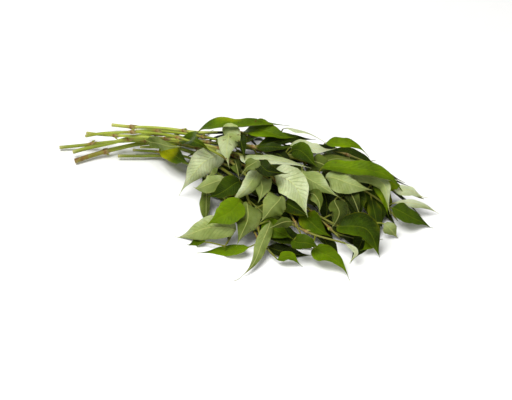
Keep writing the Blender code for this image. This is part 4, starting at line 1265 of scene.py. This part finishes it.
class NodeBoard:
    """Adds and links the shader nodes of one material in short calls."""

    def __init__(self, name: str) -> None:
        """Starts a material with a Principled shader."""
        self.material = bpy.data.materials.new(name)
        self.material.use_nodes = True
        self.tree = self.material.node_tree
        self.shader = self.tree.nodes["Principled BSDF"]

    def link(self, source: object, target: bpy.types.NodeSocket) -> None:
        """Links a value or a socket to another socket, or sets that one to a number or a colour."""
        if isinstance(source, Value):
            source = source.socket
        if isinstance(source, bpy.types.NodeSocket):
            self.tree.links.new(source, target)
        else:
            target.default_value = source

    def value_of(self, name: str) -> Value:
        """The value of a named attribute of the piece."""
        node = self.tree.nodes.new("ShaderNodeAttribute")
        node.attribute_name = name
        return Value(self, node.outputs["Fac"])

    def places(self) -> tuple[Value, Value]:
        """The two coordinates of the piece's own map."""
        source = self.tree.nodes.new("ShaderNodeUVMap")
        source.uv_map = "surface"
        parts = self.tree.nodes.new("ShaderNodeSeparateXYZ")
        self.tree.links.new(source.outputs["UV"], parts.inputs[0])
        return Value(self, parts.outputs[0]), Value(self, parts.outputs[1])

    def object_place(self) -> bpy.types.NodeSocket:
        """The place in the piece's own space, in metres."""
        return self.tree.nodes.new("ShaderNodeTexCoord").outputs["Object"]

    def vector(self, x: object, y: object, z: object) -> bpy.types.NodeSocket:
        """Three numbers as a vector."""
        node = self.tree.nodes.new("ShaderNodeCombineXYZ")
        for source, target in zip((x, y, z), node.inputs):
            self.link(source, target)
        return node.outputs[0]

    def noise(self, place: bpy.types.NodeSocket, scale: float, detail: float = 2.0) -> Value:
        """Soft noise round 0.5 with scale cells to a unit."""
        node = self.tree.nodes.new("ShaderNodeTexNoise")
        self.link(place, node.inputs["Vector"])
        node.inputs["Scale"].default_value = scale
        node.inputs["Detail"].default_value = detail
        return Value(self, node.outputs["Fac"])

    def cell_edges(self, place: bpy.types.NodeSocket) -> Value:
        """Distance to the edge of irregular cells that are about one unit wide."""
        node = self.tree.nodes.new("ShaderNodeTexVoronoi")
        node.feature = "DISTANCE_TO_EDGE"
        self.link(place, node.inputs["Vector"])
        node.inputs["Scale"].default_value = 1.0
        return Value(self, node.outputs["Distance"])

    def mix(self, share: object, first: object, second: object, blend: str = "MIX") -> bpy.types.NodeSocket:
        """Two colours mixed by a share."""
        node = self.tree.nodes.new("ShaderNodeMix")
        node.data_type = "RGBA"
        node.blend_type = blend
        sockets = [socket for socket in node.inputs if socket.type == "RGBA"]
        self.link(share, node.inputs[0])
        self.link(first, sockets[0])
        self.link(second, sockets[1])
        return next(socket for socket in node.outputs if socket.type == "RGBA")

    def laid_over(self, colour: object, share: object, screen_colour: tuple) -> bpy.types.NodeSocket:
        """A colour with a share of a screen colour laid over it."""
        return self.mix(share, colour, linear(screen_colour))

    def ramp(self, value: Value, colours: tuple) -> bpy.types.NodeSocket:
        """A colour read from evenly spaced screen colours by a value from 0 to 1."""
        node = self.tree.nodes.new("ShaderNodeValToRGB")
        stops = node.color_ramp.elements
        while len(stops) < len(colours):
            stops.new(0.5)
        for number, (stop, colour) in enumerate(zip(stops, colours)):
            stop.position = number / (len(colours) - 1)
            stop.color = linear(colour)
        self.link(value, node.inputs["Fac"])
        return node.outputs["Color"]

    def scaled(self, colour: object, factor: Value) -> bpy.types.NodeSocket:
        """A colour times a number."""
        return self.mix(1.0, colour, self.vector(factor, factor, factor), "MULTIPLY")

    def bump(self, height: Value, distance: float, strength: float) -> None:
        """Raises the surface by a height that counts in distance."""
        node = self.tree.nodes.new("ShaderNodeBump")
        node.inputs["Distance"].default_value = distance
        node.inputs["Strength"].default_value = strength
        self.link(height, node.inputs["Height"])
        self.tree.links.new(node.outputs["Normal"], self.shader.inputs["Normal"])

    def set(self, **values: object) -> None:
        """Sets or links the shader's sockets, named with _ for a space."""
        for name, value in values.items():
            self.link(value, self.shader.inputs[name.replace("_", " ")])


# The part of a fine noise's spread over which the roughness goes from smooth to rough
FINE_SPAN = (0.3, 0.7)


@dataclass(frozen=True)
class LeafFinish:
    """One side of the leaves: its colours from dark to bright tone, its veins and its gloss.

    Fields that end in cells count a noise's cells in a metre. Fields that end in span give the values from
    which and up to which a mark grows.
    """

    name: str
    colours: tuple
    rib_colour: tuple
    vein_colour: tuple
    stalk_colour: tuple
    spot_colour: tuple
    yellow_colour: tuple
    rib_share: float
    vein_share: float
    vein_height: float
    mottling: float
    roughness: tuple
    subsurface: float
    specular: float
    eaten_colour: tuple = (34, 24, 12)
    subsurface_reach: float = 0.0008
    broad_cells: float = 55.0
    fine_cells: float = 420.0
    grain_detail: float = 3.0
    unevenness: float = 0.75
    # share of painted light and shade by which one half of a blade is lighter and the other darker
    painted_half_shade_share: float = 0.6
    rib_edges: tuple = (0.12, 0.42)
    vein_pairs: float = 15.0
    more_pairs: float = 3.0
    vein_slope: float = 2.6
    vein_bend: float = 0.85
    vein_wobble: float = 0.9
    wobble_cells: float = 130.0
    vein_width: float = 0.10
    vein_fade_span: tuple = (0.55, 1.0)
    vein_at_margin: float = 0.25
    net_counts: tuple = (42.0, 20.0, 9.0)
    net_width: float = 0.16
    net_share: float = 0.16
    yellow_cells: float = 28.0
    yellow_at_margin: float = 0.12
    yellow_span: tuple = (0.70, 0.88)
    yellow_share: float = 0.35
    rim_span: tuple = (0.94, 1.0)
    rim_share: float = 0.15
    patch_evenness: float = 0.4
    patch_span: tuple = (0.20, 0.85)
    patch_share: float = 0.85
    spot_cells: float = 310.0
    spot_group_cells: float = 45.0
    spot_grouping: float = 0.5
    spot_blemish: float = 0.13
    spot_span: tuple = (1.01, 1.05)
    spot_share: float = 0.85
    eaten_span: tuple = (0.05, 0.35)
    eaten_share: float = 0.95
    small_relief: float = 0.3
    relief_depth: float = 0.00055
    relief_strength: float = 0.9

    def material(self) -> bpy.types.Material:
        """The side's material: its ground, the veins on it, then its marks, and a relief of the veins."""
        board = NodeBoard(self.name)
        place = board.object_place()
        along, over = board.places()
        margin = abs(over * 2.0 - 1.0)
        seed = board.value_of("seed")
        broad = board.noise(place, self.broad_cells, self.grain_detail)
        fine = board.noise(place, self.fine_cells, self.grain_detail)
        colour = self.ground(board, over, seed, broad, fine)
        vein = self.side_veins(board, place, along, margin, seed)
        counts = zip((along, over, seed), self.net_counts)
        net_place = board.vector(*(value * count for value, count in counts))
        net = board.cell_edges(net_place).span(0.0, self.net_width, 1.0, 0.0)
        colour = board.laid_over(colour, net * self.net_share, self.vein_colour)
        colour = board.laid_over(colour, vein * self.vein_share, self.vein_colour)
        colour = self.marks(board, colour, place, margin, broad)
        board.set(Base_Color=colour, Roughness=fine.span(*FINE_SPAN, *self.roughness),
                  Subsurface_Weight=self.subsurface, Subsurface_Scale=self.subsurface_reach,
                  Specular_IOR_Level=self.specular)
        relief = vein * self.vein_height + (net * self.vein_height + fine) * self.small_relief
        board.bump(relief, self.relief_depth, self.relief_strength)
        return board.material

    def ground(self, board: NodeBoard, over: Value, seed: Value, broad: Value,
               fine: Value) -> bpy.types.NodeSocket:
        """The blade's colour: its tone, drifting over the blade and mottled, with painted light and shade
        that lightens one half and darkens the other.
        """
        # painted light and shade: one half of the blade lighter and the other darker, as on a leaf folded at
        # its midrib
        painted_half_shade = (over - 0.5) * (seed - 0.5)
        drift = (broad - 0.5) * self.unevenness + painted_half_shade * self.painted_half_shade_share
        colour = board.ramp((board.value_of("tone") + drift).held(), self.colours)
        return board.scaled(colour, (fine - 0.5) * self.mottling + 1.0)

    def side_veins(self, board: NodeBoard, place: bpy.types.NodeSocket, along: Value, margin: Value,
                   seed: Value) -> Value:
        """Lines where the way along, less a share of the way to the margin, passes a whole vein spacing."""
        pairs = seed * self.more_pairs + self.vein_pairs
        wobble = board.noise(place, self.wobble_cells, 1.0) * self.vein_wobble
        count = along * pairs - margin ** self.vein_bend * self.vein_slope + wobble
        line = abs(count.fraction() - 0.5).span(0.0, self.vein_width, 1.0, 0.0)
        faded = line * margin.span(*self.vein_fade_span, 1.0, self.vein_at_margin)
        return faded * (1.0 - board.value_of("stalk")).held()

    def marks(self, board: NodeBoard, colour: bpy.types.NodeSocket, place: bpy.types.NodeSocket,
              margin: Value, broad: Value) -> bpy.types.NodeSocket:
        """The yellowed places and rim, the midrib and stalk, and the spotted and eaten places."""
        aged = board.noise(place, self.yellow_cells) + margin * self.yellow_at_margin
        patch = board.value_of("yellowed") * (broad + self.patch_evenness)
        from_rib = margin * board.value_of("half")
        groups = board.noise(place, self.spot_group_cells) * self.spot_grouping
        speckle = board.noise(place, self.spot_cells) + groups + board.value_of("blemish") * self.spot_blemish
        eaten = board.value_of("bite")
        for share, mark in (
                (aged.span(*self.yellow_span, 0.0, self.yellow_share), self.yellow_colour),
                (margin.span(*self.rim_span, 0.0, self.rim_share), self.yellow_colour),
                (patch.span(*self.patch_span, 0.0, self.patch_share), self.yellow_colour),
                (from_rib.span(*self.rib_edges, self.rib_share, 0.0), self.rib_colour),
                (board.value_of("stalk"), self.stalk_colour),
                (speckle.span(*self.spot_span, 0.0, self.spot_share), self.spot_colour),
                (eaten.span(*self.eaten_span, 0.0, self.eaten_share), self.eaten_colour)):
            colour = board.laid_over(colour, share, mark)
        return colour


# The ramps' dark ends serve the low tones, which are painted shade of leaves deep in the bunch.
UPPER_FINISH = LeafFinish(
    name="leaf_upper", colours=((10, 15, 0), (40, 56, 0), (76, 100, 1), (114, 144, 3)),
    rib_colour=(130, 148, 34), vein_colour=(106, 128, 22), stalk_colour=(128, 132, 48),
    spot_colour=(84, 58, 20), yellow_colour=(168, 172, 14), rib_share=0.28, vein_share=0.20,
    vein_height=-0.8, mottling=0.65, roughness=(0.38, 0.55), subsurface=0.05, specular=0.09)
UNDER_FINISH = LeafFinish(
    name="leaf_underside", colours=((34, 41, 8), (94, 109, 42), (156, 171, 100), (214, 222, 180)),
    rib_colour=(200, 206, 122), vein_colour=(116, 132, 66), stalk_colour=(140, 146, 62),
    spot_colour=(96, 68, 32), yellow_colour=(176, 184, 84), rib_share=0.50, vein_share=0.34,
    vein_height=0.9, mottling=0.32, roughness=(0.60, 0.75), subsurface=0.06, specular=0.08)


@dataclass(frozen=True)
class StemFinish:
    """The stems: yellow-green with fine lengthwise lines, pink-brown at the nodes and browned at the cut."""

    name: str = "stem_skin"
    colours: tuple = ((76, 90, 22), (114, 128, 38), (150, 164, 56), (190, 200, 96))
    line_colour: tuple = (84, 98, 24)
    dull_colour: tuple = (104, 98, 42)
    node_colour: tuple = (140, 106, 60)
    cut_colour: tuple = (196, 190, 130)
    brown_colour: tuple = (112, 78, 36)
    roughness: tuple = (0.36, 0.52)
    subsurface: float = 0.10
    subsurface_reach: float = 0.0012
    specular: float = 0.22
    broad_cells: float = 40.0
    fine_cells: float = 600.0
    patch_cells: float = 260.0
    grain_detail: float = 3.0
    unevenness: float = 0.9
    line_counts: tuple = (12.0, 26.0)
    line_span: tuple = (0.48, 0.72)
    line_share: float = 0.6
    dull_span: tuple = (0.28, 0.50)
    dull_share: float = 0.65
    node_speckle: tuple = (0.30, 0.62, 0.55, 1.0)
    node_share: float = 0.75
    cut_share: float = 0.7
    brown_speckle: tuple = (0.32, 0.60, 0.35, 1.0)
    line_relief: float = 0.7
    fine_relief: float = 0.3
    relief_depth: float = 0.0003
    relief_strength: float = 0.7

    def material(self) -> bpy.types.Material:
        """The stem's material.

        The tone and a broad noise pick the colour. Lines are a noise that is stretched along the stem. The
        node, cut and browned values lay their own colours over it, broken up by finer noises.
        """
        board = NodeBoard(self.name)
        place = board.object_place()
        along, turn = board.places()
        broad = board.noise(place, self.broad_cells, self.grain_detail)
        fine = board.noise(place, self.fine_cells)
        colour = board.ramp((board.value_of("tone") + (broad - 0.5) * self.unevenness).held(), self.colours)
        stretched = board.vector(along * self.line_counts[0], turn * self.line_counts[1],
                                 board.value_of("seed"))
        lines = board.noise(stretched, 1.0, self.grain_detail)
        node = board.value_of("node") * fine.span(*self.node_speckle)
        patches = board.noise(place, self.patch_cells, self.grain_detail).span(*self.brown_speckle)
        for share, mark in (
                (lines.span(*self.line_span, 0.0, self.line_share), self.line_colour),
                (along.span(*self.dull_span, 0.0, self.dull_share), self.dull_colour),
                (node * self.node_share, self.node_colour),
                (board.value_of("cut") * self.cut_share, self.cut_colour),
                (board.value_of("browned") * patches, self.brown_colour)):
            colour = board.laid_over(colour, share, mark)
        board.set(Base_Color=colour, Roughness=fine.span(*FINE_SPAN, *self.roughness),
                  Subsurface_Weight=self.subsurface, Subsurface_Scale=self.subsurface_reach,
                  Specular_IOR_Level=self.specular)
        board.bump(lines * self.line_relief + fine * self.fine_relief, self.relief_depth,
                   self.relief_strength)
        return board.material


@dataclass(frozen=True)
class SheathFinish:
    """The dry papery sheaths: brown at the node, paler and streaked towards the torn rim."""

    name: str = "sheath_paper"
    colours: tuple = ((124, 94, 52), (150, 126, 76), (170, 160, 104))
    streak_colour: tuple = (100, 74, 40)
    fine_cells: float = 500.0
    grain_detail: float = 3.0
    streak_counts: tuple = (1.5, 22.0, 7.0)
    streak_span: tuple = (0.46, 0.66)
    streak_share: float = 0.7
    roughness: tuple = (0.68, 0.86)
    specular: float = 0.15
    relief_depth: float = 0.0003
    relief_strength: float = 0.8

    def material(self) -> bpy.types.Material:
        """The sheath's material: the way to the rim picks the colour, and a stretched noise streaks it."""
        board = NodeBoard(self.name)
        place = board.object_place()
        along, turn = board.places()
        fine = board.noise(place, self.fine_cells, self.grain_detail)
        colour = board.ramp((board.value_of("rim") + (fine - 0.5)).held(), self.colours)
        counts = zip((along, turn, board.value_of("seed")), self.streak_counts)
        stretched = board.vector(*(value * count for value, count in counts))
        streaks = board.noise(stretched, 1.0, self.grain_detail)
        colour = board.laid_over(colour, streaks.span(*self.streak_span, 0.0, self.streak_share),
                                 self.streak_colour)
        board.set(Base_Color=colour, Roughness=fine.span(*FINE_SPAN, *self.roughness),
                  Specular_IOR_Level=self.specular)
        board.bump(streaks, self.relief_depth, self.relief_strength)
        return board.material


@dataclass
class Foliage:
    """The three pieces of each leafy stem: its leaves, its stem with buds, and its sheaths."""

    leaf_shape: LeafShape = field(default_factory=LeafShape)
    stem_shape: StemShape = field(default_factory=StemShape)
    bud_shape: BudShape = field(default_factory=BudShape)
    sheath_shape: SheathShape = field(default_factory=SheathShape)
    bud_sides: tuple = (0.6, 2.4, 4.1)
    seeds_per_stem: int = 20
    leaf_sharp_from: float = 75.0
    stem_sharp_from: float = 50.0

    def build(self, layout: BunchLayout) -> list[bpy.types.Object]:
        """Builds and dresses every leafy stem's pieces."""
        leaf_finishes = [UPPER_FINISH.material(), UNDER_FINISH.material()]
        stem_finish = [StemFinish().material()]
        sheath_finish = [SheathFinish().material()]
        pieces = []
        for number, leafy in enumerate(layout.leafy_stems):
            leaves = [self.leaf_shape.build(leaf) for leaf in leafy.leaves]
            stems = [self.stem_shape.build(leafy.stem)]
            sheaths = []
            for place, node in enumerate(leafy.stem.nodes):
                side = self.bud_sides[(number + place) % len(self.bud_sides)] + place
                stems.append(self.bud_shape.build(leafy.stem, node, side))
                seed = self.seeds_per_stem * number + place
                sheaths.append(self.sheath_shape.build(leafy.stem, node, seed))
            for ending, shapes, finishes, slot, sharp_from in (
                    ("leaves", leaves, leaf_finishes, "leaf", self.leaf_sharp_from),
                    ("stem", stems, stem_finish, "stem", self.stem_sharp_from),
                    ("sheaths", sheaths, sheath_finish, "sheath", self.stem_sharp_from)):
                pieces.append(make_piece(f"{leafy.name}_{ending}", shapes, finishes, leafy.name,
                                         sharp_from))
        return pieces


@dataclass
class Studio:
    """The plain pale floor, the soft lights and the camera."""

    floor_half: float = 4.0
    floor_colour: tuple = (246, 246, 244)
    grain_cells: float = 30.0
    grain_shade: float = 0.985
    world_strength: float = 0.36
    key_place: tuple = (-0.35, -0.25, 1.3)
    key_size: float = 0.8
    key_energy: float = 20.0
    fill_place: tuple = (0.9, -0.9, 0.7)
    fill_size: float = 1.0
    fill_energy: float = 3.0
    sensor_width: float = 36.0

    def build(self) -> None:
        """Makes the floor, the lights and the camera."""
        self.make_floor()
        self.make_world()
        self.make_light("key_light", self.key_place, self.key_size, self.key_energy)
        self.make_light("fill_light", self.fill_place, self.fill_size, self.fill_energy)
        self.make_camera()
        bpy.context.scene.view_settings.view_transform = "Standard"

    def make_floor(self) -> None:
        """A wide square on the surface, with a faint grain."""
        size = self.floor_half
        mesh = bpy.data.meshes.new("floor")
        mesh.from_pydata(((-size, -size, 0.0), (size, -size, 0.0), (size, size, 0.0), (-size, size, 0.0)), [],
                         ((0, 1, 2, 3),))
        floor = bpy.data.objects.new("floor", mesh)
        bpy.context.scene.collection.objects.link(floor)
        board = NodeBoard("floor_white")
        grain = board.noise(board.object_place(), self.grain_cells, 4.0)
        shade = grain.span(0.2, 0.8, self.grain_shade, 1.0)
        board.set(Base_Color=board.scaled(linear(self.floor_colour), shade), Roughness=0.85)
        mesh.materials.append(board.material)

    def make_world(self) -> None:
        """Even white light from all round."""
        world = bpy.data.worlds.new("soft_white")
        world.use_nodes = True
        background = world.node_tree.nodes["Background"]
        background.inputs["Color"].default_value = (1.0, 1.0, 1.0, 1.0)
        background.inputs["Strength"].default_value = self.world_strength
        bpy.context.scene.world = world

    def make_light(self, name: str, place: tuple, size: float, energy: float) -> None:
        """A square soft light that faces the bunch."""
        data = bpy.data.lights.new(name, "AREA")
        data.size = size
        data.energy = energy
        light = bpy.data.objects.new(name, data)
        light.location = place
        light.rotation_euler = (-Vector(place)).to_track_quat("-Z", "Y").to_euler()
        bpy.context.scene.collection.objects.link(light)

    def make_camera(self) -> None:
        """The camera at the photograph's angle, whose pixels are those of the leaves' places."""
        data = bpy.data.cameras.new("camera")
        data.sensor_width = self.sensor_width
        data.lens = self.sensor_width * (VIEW_DISTANCE / PIXEL) / VIEW_WIDTH_PIXELS
        camera = bpy.data.objects.new("camera", data)
        camera.location = EYE + BUNCH_SHIFT
        camera.rotation_euler = Vector(VIEW_FORWARD).to_track_quat("-Z", "Y").to_euler()
        bpy.context.scene.collection.objects.link(camera)
        bpy.context.scene.camera = camera


def main() -> None:
    """Builds the studio and the bunch, and logs how many leaves are laid."""
    logging.basicConfig(level=logging.INFO, format="%(message)s")
    Studio().build()
    layout = BunchLayout()
    LOG.info("%d leaves laid", layout.leaf_count)
    Foliage().build(layout)


if __name__ == "__main__":
    main()
